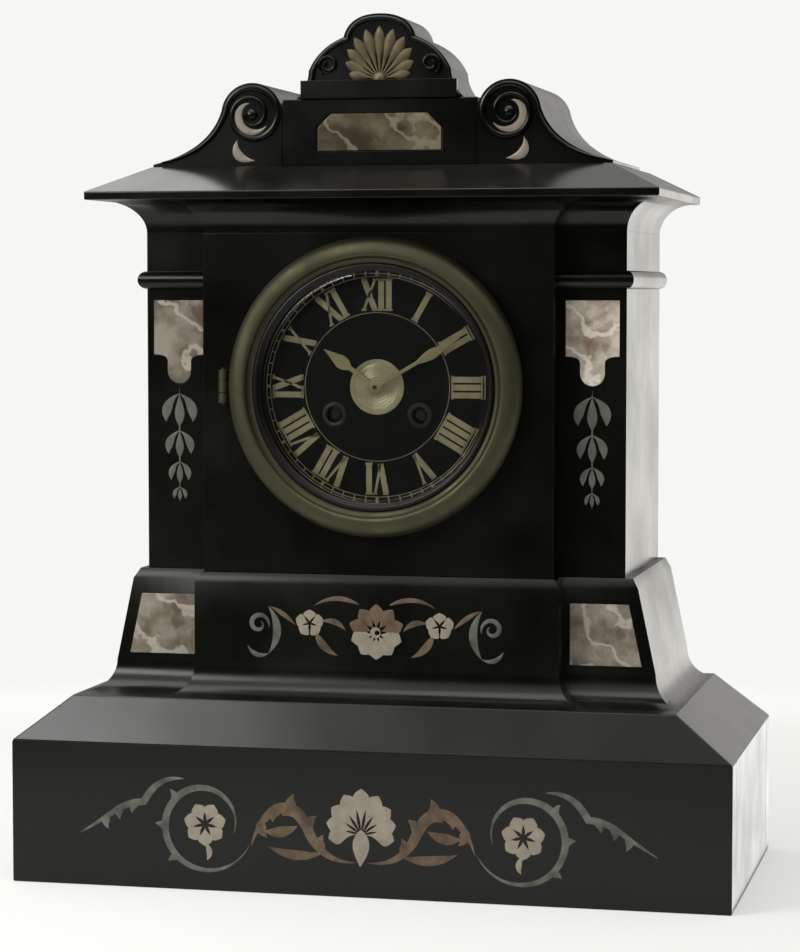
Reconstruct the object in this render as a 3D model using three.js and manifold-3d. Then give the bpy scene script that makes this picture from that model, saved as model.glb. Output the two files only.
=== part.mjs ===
// Slate mantel clock with marble inlays and a round striking movement.
// Millimetres, +Z up, +X to the viewer's right, the dial faces -Y.
// The origin is on the surface that the clock stands on, under the middle of its box.

import * as THREE from 'three';
import { mergeVertices } from 'three/addons/utils/BufferGeometryUtils.js';
import Module from 'manifold-3d';

const wasm = await Module();
wasm.setup();

// Case: widths are measured across the whole clock, depths from the middle of the plinth.
const plinthWidth = 366;
const plinthDepth = 173;
const plinthHeight = 72.5;
const plinthSlab = 16;
const capHeight = 22.5;
const capLedge = 1;
const capBackRun = 6;
const pedestalHeight = 62.5;
const bodyWidth = 248;
const bodyFrontY = -42.5;
const bodyBackY = 74;
const centreWidth = 180;
const centreStep = 14;
const frontSlab = 18;
const backSlab = 12;
const wingHeight = 143.5;
const capitalHeight = 28.5;

// Pedestal: a bevel on top, an upright front between battered sides, and a hollow foot.
const pedestalProud = 4;
const pedestalSideProud = 7;
const pedestalBatter = 9;
const footRise = 15;
const footRun = 13;
const footFrontRun = 14;
const bevelRise = 5;
const bevelRun = 3;

// Capital: a half-round bead under a plain block.
const beadHeight = 9;
const beadProud = 4;

// Cornice: a hollow moulding, then a slab with an upright edge and a sloped top.
const coveHeight = 16;
const coveRun = 18;
const corniceWidth = 290;
const corniceFrontY = -80;
const corniceBackY = 78;
const corniceEdge = 4;
const corniceSlope = 13;
const corniceTopRun = 27;

// Pediment: a block with a marble tablet between two scrolls, under a fan crest.
const pedimentFrontY = -50;
const pedimentDepth = 90;
const pedimentBlockWidth = 100;
const pedimentBlockHeight = 33.5;
const crestWidth = 86;
const crestHeight = 42;
const crestDepth = 42;
const crestSetback = 1;
const crestBandHeight = 9;
const crestBandProud = 3;
const crestBandInset = 3;
const crestWaistWidth = 73;
const crestWaistRise = 14;
const crestShoulderWidth = 63;
const crestShoulderRise = 25.5;
const crestNeckWidth = 37;
const crestNeckRise = 30.5;
const crestCrownWidth = 31;
const scrollWidth = 68;
const scrollHeight = 42;
const scrollJoinAngle = 0.15;
const scrollPullRun = 38;
const scrollPullRise = 8.4;
const scrollTailEdge = 1.5;
const voluteRadius = 16;
const voluteBand = 2.6;
const voluteRelief = 2;
const voluteTurns = 1.6;
const voluteEyeRadius = 2.8;
const voluteEyeProud = 0.6;
const tabletWidth = 64;
const tabletHeight = 19;
const tabletSlant = 7;

// Marble inlays lie flush in pockets: one in each wing of the pedestal, and a shield in each wing above.
const inlayThickness = 4;
const inlayGap = 0.3;
const pedestalInlayDrop = 12.5;
const pedestalInlayHeight = 31.5;
const pedestalInlayInnerMargin = 2.5;
const pedestalInlayOuterMargin = 6;
const shieldMargin = 3.25;
const shieldFootWidth = 13;
const shieldHeight = 43;
const shieldWaist = 28;
const shieldDrop = 5.5;

// Dial opening and its brass mounts.
const dialRise = 94.5;
const openingRadius = 62;
const runningGap = 0.3;
const seatFlangeRadius = 73;
const seatFlange = 2;
const sleeveWall = 1.5;
const ledgeThickness = 2;
const ledgeWidth = 4;
const dialSetback = 3;
const dialThickness = 1.5;
const dialFootRadius = 1.5;
const dialFootInset = 6;
const bezelRadius = 75;
const bezelOpening = 58;
const bezelDepth = 9.5;
const bezelEdge = 2.5;
const rollInset = 2.6;
const rollFall = 2.2;
const crownInset = 8;
const hollowInset = 12.6;
const hollowFall = 3.4;
const beadInset = 14.6;
const beadFall = 2.6;
const lipFall = 4;
const glassThickness = 2.4;
const glassLap = 2.4;
const glassFrontInset = 5.5;
const glassBevel = 3;
const dialCentreRadius = 14;
const dialCentreRelief = 0.5;
const windingHoleRadius = 5;
const backSleeveDepth = 12;
const backFlange = 2;
const backDoorRadius = 66;
const backDoorThickness = 1.5;

// Bezel and back door hinges.
const hingePinRadius = 1;
const hingeKnuckleRadius = 2.6;
const hingeKnuckleLength = 6;
const hingeOutset = 3.2;

// Movement: two round plates held apart by pillars.
const plateRadius = 47;
const plateThickness = 2;
const plateGap = 34;
const motionSpace = 7;
const pillarRadius = 2.4;
const upperPillarOffset = 31;
const lowerPillarX = 12;
const lowerPillarDrop = 42;
const pivotRadius = 1;
const windingArborRadius = 3;
const windingPivotRadius = 1.6;
const squareSide = 4.4;
const squareReach = 0.5;
const ratchetTeeth = 12;
const ratchetModule = 1;
const ratchetThickness = 1.6;

// Train: teeth and modules, each arbor placed by its angle seen from the dial side.
const barrelTeeth = 60;
const barrelModule = 0.66;
const secondPinionTeeth = 10;
const secondTeeth = 60;
const secondModule = 0.48;
const centrePinionTeeth = 8;
const centreTeeth = 72;
const centreModule = 0.4;
const thirdPinionTeeth = 6;
const thirdTeeth = 60;
const thirdModule = 0.38;
const escapePinionTeeth = 6;
const escapeTeeth = 40;
const escapeRadius = 10.5;
const minuteTeeth = 30;
const cannonTeeth = 10;
const hourTeeth = 32;
const minutePinionTeeth = 8;
const motionModule = 0.42;
const barrelOffsetX = 22;
const barrelDrop = 14;
const drumRadius = 18;
const drumDepth = 17;
const thirdAngle = THREE.MathUtils.degToRad(125);
const minuteAngle = THREE.MathUtils.degToRad(230);

// Depths behind the front plate's inner face.
const centreWheelDepth = 1.2;
const drumStart = 3;
const greatWheelThickness = 2.4;
const thirdWheelDepth = 23.4;
const secondWheelDepth = 25.6;
const escapeWheelDepth = 28.8;
const wheelThickness = 1.2;
const pinionOverlap = 1;

// Pendulum, anchor, bell and hammer.
const pendulumRise = 37.5;
const pendulumDrop = 140;
const pendulumDepth = 10;
const rodRadius = 1.3;
const bobRadius = 22;
const bobThickness = 11;
const rodThinRadius = 0.9;
const rodTail = 9;
const ratingNutRadius = 3;
const ratingNutHeight = 5.2;
const springHalfThickness = 0.3;
const springHalfWidth = 2;
const springDrop = 9;
const springPinHalf = 3;
const springPinRise = 3;
const clampHalf = 1.6;
const clampFoot = 13;
const cockLow = -3.5;
const cockHigh = 8.5;
const cockHalfDepth = 3.4;
const cockSlotGap = 0.5;
const anchorSwing = THREE.MathUtils.degToRad(2.5);
const palletClearance = 0.28;
const bellRadius = 33;
const bellDepth = 20;
const bellWall = 2;
const bellFrontDepth = 20;
const hammerX = -37;
const hammerZ = 17;
const hammerHeadRadius = 3.6;
const hammerHeadLength = 7;
const hammerGap = 0.6;
const hammerArborRadius = 1.2;
const hammerArmThickness = 1.6;
const hammerArmDrop = 6;
const bellStandX = 18;
const bellStandDrop = 18;
const bellStandRadius = 2.4;
const bellArmThickness = 3;
const bellArmHalfWidth = 2.2;
const strapX = 57.7;
const strapWidth = 10;
const strapThickness = 1.4;

// Hands.
const hourHandLength = 33;
const minuteHandLength = 50;
const hourHandAngle = THREE.MathUtils.degToRad(305);
const minuteHandAngle = THREE.MathUtils.degToRad(60);
const handThickness = 0.8;
const handStandoff = 2.6;
const minuteArborRadius = 1.1;
const minutePipeRadius = 1.6;
const hourPipeRadius = 3;
const hourPipeStep = 0.4;

// Levels and planes that follow from the sizes above.
const capZ = plinthHeight;
const pedestalZ = capZ + capHeight;
const bodyZ = pedestalZ + pedestalHeight;
const capitalZ = bodyZ + wingHeight;
const coveZ = capitalZ + capitalHeight;
const corniceZ = coveZ + coveHeight;
const roofZ = corniceZ + corniceEdge + corniceSlope;
const crestZ = roofZ + pedimentBlockHeight;
const dialZ = bodyZ + dialRise;
const centreFrontY = bodyFrontY - centreStep;
const interiorFrontY = centreFrontY + frontSlab;
const interiorBackY = bodyBackY - backSlab;
const halfBody = bodyWidth / 2;
const halfCentre = centreWidth / 2;
const halfPlinthDepth = plinthDepth / 2;
const shieldWidth = halfBody - halfCentre - 2 * shieldMargin;

// Round work is drawn with flat sides: the least radius of a ring's bore is at the middle of a flat.
const openingSides = 40;
const bezelSides = 32;
const ringSides = 28;
const knuckleSides = 10;
const atFlat = (radius, sides) => radius * Math.cos(Math.PI / sides);
const sleeveOuter = atFlat(openingRadius, openingSides) - runningGap;
const sleeveInner = sleeveOuter - sleeveWall;
const dialRadius = atFlat(sleeveInner, ringSides) - runningGap;
const seatFrontY = centreFrontY - seatFlange;
const dialFrontY = centreFrontY + dialSetback;
const dialBackY = dialFrontY + dialThickness;
const seatBackY = dialBackY + ledgeThickness;
const bezelBackY = seatFrontY - runningGap;
const bezelFrontY = bezelBackY - bezelDepth;
const glassFrontY = bezelFrontY + glassFrontInset;
const glassRadius = bezelOpening + glassLap;
const frontPlateY = dialBackY + motionSpace;
const trainY = frontPlateY + plateThickness;
const backPlateY = trainY + plateGap;
const behindPlateY = backPlateY + plateThickness;
const pendulumY = behindPlateY + pendulumDepth;
const handY = dialFrontY - handStandoff;

const centreDistance = (teethA, teethB, module) => (teethA + teethB) * module / 2;
const polar = (radius, angle) => new THREE.Vector2(radius * Math.cos(angle), radius * Math.sin(angle));

// Arbor places around the dial's centre.
const centreArbor = new THREE.Vector2(0, 0);
const goingArbor = new THREE.Vector2(barrelOffsetX, -barrelDrop);
const strikeArbor = new THREE.Vector2(-barrelOffsetX, -barrelDrop);
const secondArbor = meetingPoint(
  goingArbor, centreDistance(barrelTeeth, secondPinionTeeth, barrelModule),
  centreArbor, centreDistance(secondTeeth, centrePinionTeeth, secondModule));
const thirdArbor = polar(centreDistance(centreTeeth, thirdPinionTeeth, centreModule), thirdAngle);
const escapeReach = centreDistance(thirdTeeth, escapePinionTeeth, thirdModule);
const escapeArbor = new THREE.Vector2(0, thirdArbor.y + Math.sqrt(escapeReach ** 2 - thirdArbor.x ** 2));
const minuteArbor = polar(centreDistance(minuteTeeth, cannonTeeth, motionModule), minuteAngle);
const anchorArbor = new THREE.Vector2(0, pendulumRise);
const hammerArbor = new THREE.Vector2(hammerX, hammerZ);
const pillarPlaces = [
  new THREE.Vector2(-upperPillarOffset, upperPillarOffset),
  new THREE.Vector2(upperPillarOffset, upperPillarOffset),
  new THREE.Vector2(lowerPillarX, -lowerPillarDrop),
  new THREE.Vector2(-lowerPillarX, -lowerPillarDrop),
];

// Of the two points at the given distances from a and b, the one with more X and Z.
function meetingPoint(a, reachA, b, reachB) {
  const span = a.distanceTo(b);
  const along = (reachA ** 2 - reachB ** 2 + span ** 2) / (2 * span);
  const aside = Math.sqrt(reachA ** 2 - along ** 2);
  const line = b.clone().sub(a).divideScalar(span);
  const normal = new THREE.Vector2(line.y, -line.x);
  if (normal.x + normal.y < 0) normal.negate();
  return a.clone().addScaledVector(line, along).addScaledVector(normal, aside);
}

// A cutting tool or a joined piece runs this far past the face where it would otherwise end.
const overrun = 1;

// Materials in the colours of the photograph.
const finish = (color, roughness, metalness = 0) => (
  new THREE.MeshStandardMaterial({ color, roughness, metalness }));
const slate = finish('#15161a', 0.22);
const marble = finish('#a08d7c', 0.3);
const brass = finish('#8d7a4c', 0.35, 1);
const gilt = finish('#a08a55', 0.4, 1);
const steel = finish('#5a5d62', 0.3, 1);
const blackDial = finish('#0d0c0c', 0.3);
const glass = new THREE.MeshStandardMaterial({
  color: '#dfe6e4', roughness: 0.05, transparent: true, opacity: 0.2,
});

// A closed shell with its triangles facing out, whatever way round it was drawn.
function facingOut(geometry) {
  geometry.deleteAttribute('normal');
  geometry.deleteAttribute('uv');
  const merged = mergeVertices(geometry, 1e-4);
  const position = merged.getAttribute('position');
  const index = merged.getIndex().array;
  const corners = [new THREE.Vector3(), new THREE.Vector3(), new THREE.Vector3()];
  const kept = [];
  let volume = 0;
  for (let i = 0; i < index.length; i += 3) {
    const [a, b, c] = [index[i], index[i + 1], index[i + 2]];
    if (a === b || b === c || c === a) continue;
    kept.push(a, b, c);
    corners.forEach((corner, k) => corner.fromBufferAttribute(position, index[i + k]));
    volume += corners[0].dot(corners[1].cross(corners[2]));
  }
  if (volume < 0) {
    for (let i = 0; i < kept.length; i += 3) [kept[i + 1], kept[i + 2]] = [kept[i + 2], kept[i + 1]];
  }
  merged.setIndex(kept);
  return merged;
}

function toManifold(geometry) {
  const closed = facingOut(geometry);
  return new wasm.Manifold(new wasm.Mesh({
    numProp: 3,
    vertProperties: new Float32Array(closed.getAttribute('position').array),
    triVerts: new Uint32Array(closed.getIndex().array),
  }));
}

function fromManifold(manifold) {
  const mesh = manifold.getMesh();
  const geometry = new THREE.BufferGeometry();
  geometry.setAttribute('position', new THREE.BufferAttribute(mesh.vertProperties, 3));
  geometry.setIndex(new THREE.BufferAttribute(mesh.triVerts, 1));
  return geometry;
}

function join(...geometries) {
  return fromManifold(geometries.map(toManifold).reduce((sum, next) => sum.add(next)));
}

function cut(geometry, ...tools) {
  const start = toManifold(geometry);
  return fromManifold(tools.map(toManifold).reduce((rest, tool) => rest.subtract(tool), start));
}

function common(geometry, other) {
  return fromManifold(toManifold(geometry).intersect(toManifold(other)));
}

function box(x0, x1, y0, y1, z0, z1) {
  const geometry = new THREE.BoxGeometry(x1 - x0, y1 - y0, z1 - z0);
  return geometry.translate((x0 + x1) / 2, (y0 + y1) / 2, (z0 + z1) / 2);
}

// A round bar along Y.
function bar(radius, y0, y1, x = 0, z = 0, sides = 12) {
  return new THREE.CylinderGeometry(radius, radius, y1 - y0, sides).translate(x, (y0 + y1) / 2, z);
}

// A round bar along Z.
function upright(radius, z0, z1, x, y, sides = 12) {
  return new THREE.CylinderGeometry(radius, radius, z1 - z0, sides).rotateX(Math.PI / 2)
    .translate(x, y, (z0 + z1) / 2);
}

// An outline drawn in X and Z, as seen from the front, given a thickness from frontY backwards.
function plate(shape, frontY, thickness, curveSegments = 8) {
  const geometry = new THREE.ExtrudeGeometry(shape, { depth: thickness, bevelEnabled: false, curveSegments });
  return geometry.rotateX(Math.PI / 2).translate(0, frontY + thickness, 0);
}

// A closed profile of radius and Y, turned about the Y axis.
function turned(profile, segments) {
  const points = profile.map(([radius, y]) => new THREE.Vector2(radius, y));
  return new THREE.LatheGeometry([...points, points[0].clone()], segments);
}

// A solid through outlines at rising levels; each outline has the same number of points.
function loft(levels) {
  const clockwise = THREE.ShapeUtils.isClockWise(levels[0].outline);
  const facing = (outline) => (clockwise ? [...outline].reverse() : outline);
  const sections = levels.map(({ z, outline }) => ({ z, outline: facing(outline) }));
  const count = sections[0].outline.length;
  const positions = sections.flatMap(({ z, outline }) => outline.flatMap((point) => [point.x, point.y, z]));
  const last = (sections.length - 1) * count;
  const indices = [];
  for (let level = 0; level < sections.length - 1; level += 1) {
    for (let i = 0; i < count; i += 1) {
      const a = level * count + i;
      const b = level * count + (i + 1) % count;
      indices.push(a, b, b + count, a, b + count, a + count);
    }
  }
  for (const [a, b, c] of THREE.ShapeUtils.triangulateShape(sections[0].outline, [])) indices.push(c, b, a);
  for (const [a, b, c] of THREE.ShapeUtils.triangulateShape(sections.at(-1).outline, [])) {
    indices.push(last + a, last + b, last + c);
  }
  const geometry = new THREE.BufferGeometry();
  geometry.setAttribute('position', new THREE.Float32BufferAttribute(positions, 3));
  geometry.setIndex(indices);
  return geometry;
}

const points = (...pairs) => pairs.map(([x, y]) => new THREE.Vector2(x, y));

const rectangle = (halfWidth, frontY, backY) => points(
  [-halfWidth, frontY], [halfWidth, frontY], [halfWidth, backY], [-halfWidth, backY]);

// The body's plan with its stepped-forward centre, grown sideways and forwards.
function steppedPlan(side, front) {
  const wingX = halfBody + side;
  const centreX = halfCentre + front;
  return points(
    [-wingX, bodyBackY], [-wingX, bodyFrontY - front], [-centreX, bodyFrontY - front],
    [-centreX, centreFrontY - front], [centreX, centreFrontY - front],
    [centreX, bodyFrontY - front], [wingX, bodyFrontY - front], [wingX, bodyBackY]);
}

// How far a hollow quarter-round stands out at each height, from its upright end.
function hollowSteps(steps) {
  return Array.from({ length: steps + 1 }, (_, i) => {
    const angle = i / steps * Math.PI / 2;
    return { out: 1 - Math.cos(angle), along: Math.sin(angle) };
  });
}

const parts = {
  clock: new THREE.Group(),
  movement: new THREE.Group(),
};
parts.movement.position.z = dialZ;
parts.clock.add(parts.movement);

function add(group, name, geometry, material, place = { x: 0, y: 0 }) {
  const mesh = new THREE.Mesh(geometry, material);
  mesh.name = name;
  mesh.position.set(place.x, 0, place.y);
  group.add(mesh);
}

// Plinth: four upright slabs under a bevelled cap, whose top is a ledge wider than the pedestal's foot.
function addPlinth(group) {
  const halfWidth = plinthWidth / 2;
  const inner = halfPlinthDepth - plinthSlab;
  add(group, 'plinth_front', box(-halfWidth, halfWidth, -halfPlinthDepth, -inner, 0, plinthHeight), slate);
  add(group, 'plinth_back', box(-halfWidth, halfWidth, inner, halfPlinthDepth, 0, plinthHeight), slate);
  add(group, 'plinth_left', box(-halfWidth, plinthSlab - halfWidth, -inner, inner, 0, plinthHeight), slate);
  add(group, 'plinth_right', box(halfWidth - plinthSlab, halfWidth, -inner, inner, 0, plinthHeight), slate);
  const capTopHalf = halfBody + pedestalSideProud + pedestalBatter + footRun + capLedge;
  const capTopFrontY = centreFrontY - pedestalProud - footFrontRun - capLedge;
  add(group, 'plinth_cap', loft([
    { z: capZ, outline: rectangle(halfWidth, -halfPlinthDepth, halfPlinthDepth) },
    { z: pedestalZ, outline: rectangle(capTopHalf, capTopFrontY, halfPlinthDepth - capBackRun) },
  ]), slate);
}

// How far the pedestal's battered side stands out from the body's side at a height of its face.
const faceTopZ = bodyZ - bevelRise;
const faceFootZ = pedestalZ + footRise;
const sideProudAt = (z) => pedestalSideProud + pedestalBatter * (faceTopZ - z) / (faceTopZ - faceFootZ);

// Marble inlay of a pedestal wing: upright on its inner side, and leaning with the pedestal on its outer one.
function pedestalInlayShape(side, clearance) {
  const topZ = bodyZ - pedestalInlayDrop;
  const lowZ = topZ - pedestalInlayHeight;
  const inner = halfCentre + pedestalProud + pedestalInlayInnerMargin + clearance;
  const outerAt = (z) => halfBody + sideProudAt(z) - pedestalInlayOuterMargin - clearance;
  return new THREE.Shape(points(
    [side * inner, lowZ + clearance], [side * outerAt(lowZ), lowZ + clearance],
    [side * outerAt(topZ), topZ - clearance], [side * inner, topZ - clearance]));
}

// Pedestal: one moulded ring of slate, made of a front and two side pieces, open inside.
function addPedestal(group) {
  const foot = hollowSteps(6).reverse().map(({ out, along }) => ({
    z: pedestalZ + footRise * (1 - along),
    outline: steppedPlan(sideProudAt(faceFootZ) + footRun * out, pedestalProud + footFrontRun * out),
  }));
  const ring = loft([
    ...foot,
    { z: faceTopZ, outline: steppedPlan(pedestalSideProud, pedestalProud) },
    { z: bodyZ, outline: steppedPlan(pedestalSideProud - bevelRun, pedestalProud - bevelRun) },
  ]);
  const reach = plinthWidth;
  const wingFrontY = bodyFrontY - pedestalProud;
  const pockets = [-1, 1].map((side) => plate(
    pedestalInlayShape(side, 0), wingFrontY - overrun, inlayThickness + overrun));
  const front = common(ring, box(-reach, reach, -reach, interiorFrontY, 0, reach));
  add(group, 'pedestal_front', cut(front, ...pockets), slate);
  add(group, 'pedestal_left', common(ring, box(-reach, -halfCentre, interiorFrontY, reach, 0, reach)), slate);
  add(group, 'pedestal_right', common(ring, box(halfCentre, reach, interiorFrontY, reach, 0, reach)), slate);
  for (const [side, name] of [[-1, 'left'], [1, 'right']]) {
    const inlay = plate(pedestalInlayShape(side, inlayGap), wingFrontY, inlayThickness - inlayGap);
    add(group, `pedestal_marble_${name}`, inlay, marble);
  }
}

// A shield outline: an upright panel that narrows to a rounded drop.
function shieldShape(centreX, topZ, clearance) {
  const half = shieldWidth / 2 - clearance;
  const foot = shieldFootWidth / 2 - clearance;
  const bottomZ = topZ - shieldHeight;
  const shape = new THREE.Shape();
  shape.moveTo(centreX - half, topZ - clearance);
  shape.lineTo(centreX - half, topZ - shieldWaist);
  shape.quadraticCurveTo(centreX - foot, topZ - shieldWaist, centreX - foot, bottomZ + foot + shieldDrop);
  shape.absarc(centreX, bottomZ + foot + clearance, foot, Math.PI, Math.PI * 2, false);
  shape.lineTo(centreX + foot, bottomZ + foot + shieldDrop);
  shape.quadraticCurveTo(centreX + foot, topZ - shieldWaist, centreX + half, topZ - shieldWaist);
  shape.lineTo(centreX + half, topZ - clearance);
  shape.closePath();
  return shape;
}

// Wings: the two set-back uprights, each with a marble shield, under a bead and a plain block.
function addWing(group, side, name) {
  const [inner, outer] = [side * halfCentre, side * halfBody];
  const [x0, x1] = [Math.min(inner, outer), Math.max(inner, outer)];
  const centreX = (inner + outer) / 2;
  const shieldTop = capitalZ - shieldDrop;
  const pocket = plate(shieldShape(centreX, shieldTop, 0), bodyFrontY - overrun, inlayThickness + overrun, 5);
  const slab = box(x0, x1, bodyFrontY, bodyBackY, bodyZ, capitalZ);
  add(group, `wing_${name}`, cut(slab, pocket), slate);
  const inlay = plate(shieldShape(centreX, shieldTop, inlayGap), bodyFrontY, inlayThickness - inlayGap, 5);
  add(group, `wing_marble_${name}`, inlay, marble);

  const level = (z, out) => ({
    z,
    outline: points([inner, bodyFrontY - out], [outer + side * out, bodyFrontY - out],
      [outer + side * out, bodyBackY], [inner, bodyBackY]),
  });
  const beadSteps = 6;
  const bead = Array.from({ length: beadSteps + 1 }, (_, i) => {
    const angle = i / beadSteps * Math.PI;
    return level(capitalZ + beadHeight * (1 - Math.cos(angle)) / 2, beadProud * Math.sin(angle));
  });
  add(group, `capital_${name}`, loft([...bead, level(coveZ, 0)]), slate);
}

// Front and back slabs, each with a round opening for the movement.
function addPanels(group) {
  const panel = (bottomZ) => {
    const shape = new THREE.Shape();
    shape.moveTo(-halfCentre, bottomZ);
    shape.lineTo(halfCentre, bottomZ);
    shape.lineTo(halfCentre, coveZ);
    shape.lineTo(-halfCentre, coveZ);
    shape.closePath();
    const hole = new THREE.Path();
    hole.absarc(0, dialZ, openingRadius, 0, Math.PI * 2, true);
    shape.holes.push(hole);
    return shape;
  };
  add(group, 'front_panel', plate(panel(bodyZ), centreFrontY, frontSlab, 20), slate);
  add(group, 'back_panel', plate(panel(pedestalZ), interiorBackY, backSlab, 20), slate);
}

function addCornice(group) {
  const cove = hollowSteps(7).map(({ out, along }) => ({
    z: coveZ + coveHeight * along,
    outline: steppedPlan(coveRun * out, coveRun * out),
  }));
  add(group, 'cornice_cove', loft(cove), slate);
  const half = corniceWidth / 2;
  add(group, 'cornice_slab', loft([
    { z: corniceZ, outline: rectangle(half, corniceFrontY, corniceBackY) },
    { z: corniceZ + corniceEdge, outline: rectangle(half, corniceFrontY, corniceBackY) },
    { z: roofZ, outline: rectangle(half - corniceTopRun, corniceFrontY + corniceTopRun, corniceBackY) },
  ]), slate);
}

// Tablet outline: its top corners are cut at a slant.
function tabletShape(clearance) {
  const half = tabletWidth / 2 - clearance;
  const low = roofZ + (pedimentBlockHeight - tabletHeight) / 2 + clearance;
  const high = low + tabletHeight - 2 * clearance;
  const shape = new THREE.Shape();
  shape.moveTo(-half, low);
  shape.lineTo(half, low);
  shape.lineTo(half, high - tabletSlant);
  shape.lineTo(half - tabletSlant, high);
  shape.lineTo(tabletSlant - half, high);
  shape.lineTo(-half, high - tabletSlant);
  shape.closePath();
  return shape;
}

// Crest: flared sides up to a waist, round shoulders up to a neck, and a domed crown on top.
function crestShape() {
  const foot = crestWidth / 2;
  const waist = crestWaistWidth / 2;
  const shoulder = crestShoulderWidth / 2;
  const neck = crestNeckWidth / 2;
  const crown = crestCrownWidth / 2;
  const flareZ = crestZ + crestWaistRise / 2;
  const waistZ = crestZ + crestWaistRise;
  const shoulderZ = crestZ + crestShoulderRise;
  const neckZ = crestZ + crestNeckRise;
  const topZ = crestZ + crestHeight;
  const shape = new THREE.Shape();
  shape.moveTo(-foot, crestZ);
  shape.lineTo(foot, crestZ);
  shape.quadraticCurveTo(waist, flareZ, waist, waistZ);
  shape.quadraticCurveTo(shoulder, shoulderZ, neck, neckZ);
  shape.quadraticCurveTo(crown, topZ, 0, topZ);
  shape.quadraticCurveTo(-crown, topZ, -neck, neckZ);
  shape.quadraticCurveTo(-shoulder, shoulderZ, -waist, waistZ);
  shape.quadraticCurveTo(-waist, flareZ, -foot, crestZ);
  return shape;
}

// A raised spiral band on the front of a scroll, wound inwards from the outer edge.
function voluteBandGeometry(centreX, centreZ, side) {
  const steps = 15;
  const outer = [];
  const inner = [];
  for (let i = 0; i <= steps; i += 1) {
    const turn = i / steps;
    const angle = Math.PI / 2 + side * turn * voluteTurns * Math.PI * 2;
    const radius = (voluteRadius - 2) * (1 - 0.78 * turn);
    const width = voluteBand * (1 - 0.35 * turn);
    outer.push(polar(radius, angle).add(new THREE.Vector2(centreX, centreZ)));
    inner.unshift(polar(radius - width, angle).add(new THREE.Vector2(centreX, centreZ)));
  }
  return plate(new THREE.Shape([...outer, ...inner]), pedimentFrontY - voluteRelief, voluteRelief + overrun);
}

// Scroll: a rounded head that falls in a long hollow curve to the cornice's end.
function addScroll(group, side, name) {
  const inner = side * pedimentBlockWidth / 2;
  const headX = inner + side * voluteRadius;
  const headZ = roofZ + scrollHeight - voluteRadius;
  const shape = new THREE.Shape();
  shape.moveTo(inner, roofZ);
  shape.lineTo(inner, headZ);
  const [start, end] = side > 0 ? [Math.PI, scrollJoinAngle] : [0, Math.PI - scrollJoinAngle];
  shape.absarc(headX, headZ, voluteRadius, start, end, side > 0);
  shape.quadraticCurveTo(inner + side * scrollPullRun, roofZ + scrollPullRise,
    inner + side * scrollWidth, roofZ + scrollTailEdge);
  shape.lineTo(inner + side * scrollWidth, roofZ);
  shape.closePath();
  const body = plate(shape, pedimentFrontY, pedimentDepth, 8);
  const band = voluteBandGeometry(headX, headZ, side);
  const eyeFrontY = pedimentFrontY - voluteRelief - voluteEyeProud;
  const eye = bar(voluteEyeRadius, eyeFrontY, pedimentFrontY + overrun, headX, headZ);
  add(group, `pediment_scroll_${name}`, join(body, band, eye), slate);
}

function addPediment(group) {
  const half = pedimentBlockWidth / 2;
  const block = box(-half, half, pedimentFrontY, pedimentFrontY + pedimentDepth, roofZ, crestZ);
  const pocket = plate(tabletShape(0), pedimentFrontY - overrun, inlayThickness + overrun);
  add(group, 'pediment_block', cut(block, pocket), slate);
  const tablet = plate(tabletShape(inlayGap), pedimentFrontY, inlayThickness - inlayGap);
  add(group, 'pediment_tablet', tablet, marble);
  const crestFrontY = pedimentFrontY + crestSetback;
  const crest = plate(crestShape(), crestFrontY, crestDepth, 6);
  const bandHalf = crestWidth / 2 - crestBandInset;
  const band = box(-bandHalf, bandHalf, crestFrontY - crestBandProud, crestFrontY + overrun,
    crestZ, crestZ + crestBandHeight);
  add(group, 'pediment_crest', join(crest, band), slate);
  addScroll(group, -1, 'left');
  addScroll(group, 1, 'right');
}

// Hinges at the left of the dial and of the back door: two fixed knuckles and a moving one between them.
const bezelHinge = { x: -(bezelRadius + hingeOutset), y: bezelBackY - 1.7 };
const doorFrontY = bodyBackY + backFlange + runningGap;
const doorHinge = { x: -(backDoorRadius + hingeOutset), y: doorFrontY + hingeKnuckleRadius };

// Knuckles of one leaf, each with an arm that spans x0 to x1 and y0 to y1 where it meets its ring or door.
function withKnuckles(leaf, hinge, spans, { x0, x1, y0, y1 }) {
  const pieces = spans.flatMap(([z0, z1]) => [
    upright(hingeKnuckleRadius, z0, z1, hinge.x, hinge.y, knuckleSides),
    box(x0, x1, y0, y1, z0, z1),
  ]);
  return join(leaf, ...pieces);
}

const hingeBore = (hinge) => upright(
  hingePinRadius + runningGap, -hingeReach - overrun, hingeReach + overrun, hinge.x, hinge.y, 10);
const hingePin = (hinge) => upright(hingePinRadius, -hingeReach, hingeReach, hinge.x, hinge.y, 8);

const middleSpan = [-hingeKnuckleLength / 2, hingeKnuckleLength / 2];
const outerSpans = [-1, 1].map((side) => {
  const near = side * (hingeKnuckleLength / 2 + runningGap);
  const far = near + side * (hingeKnuckleLength - 1);
  return [Math.min(near, far), Math.max(near, far)];
});
const hingeReach = hingeKnuckleLength * 1.5 + runningGap;

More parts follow.
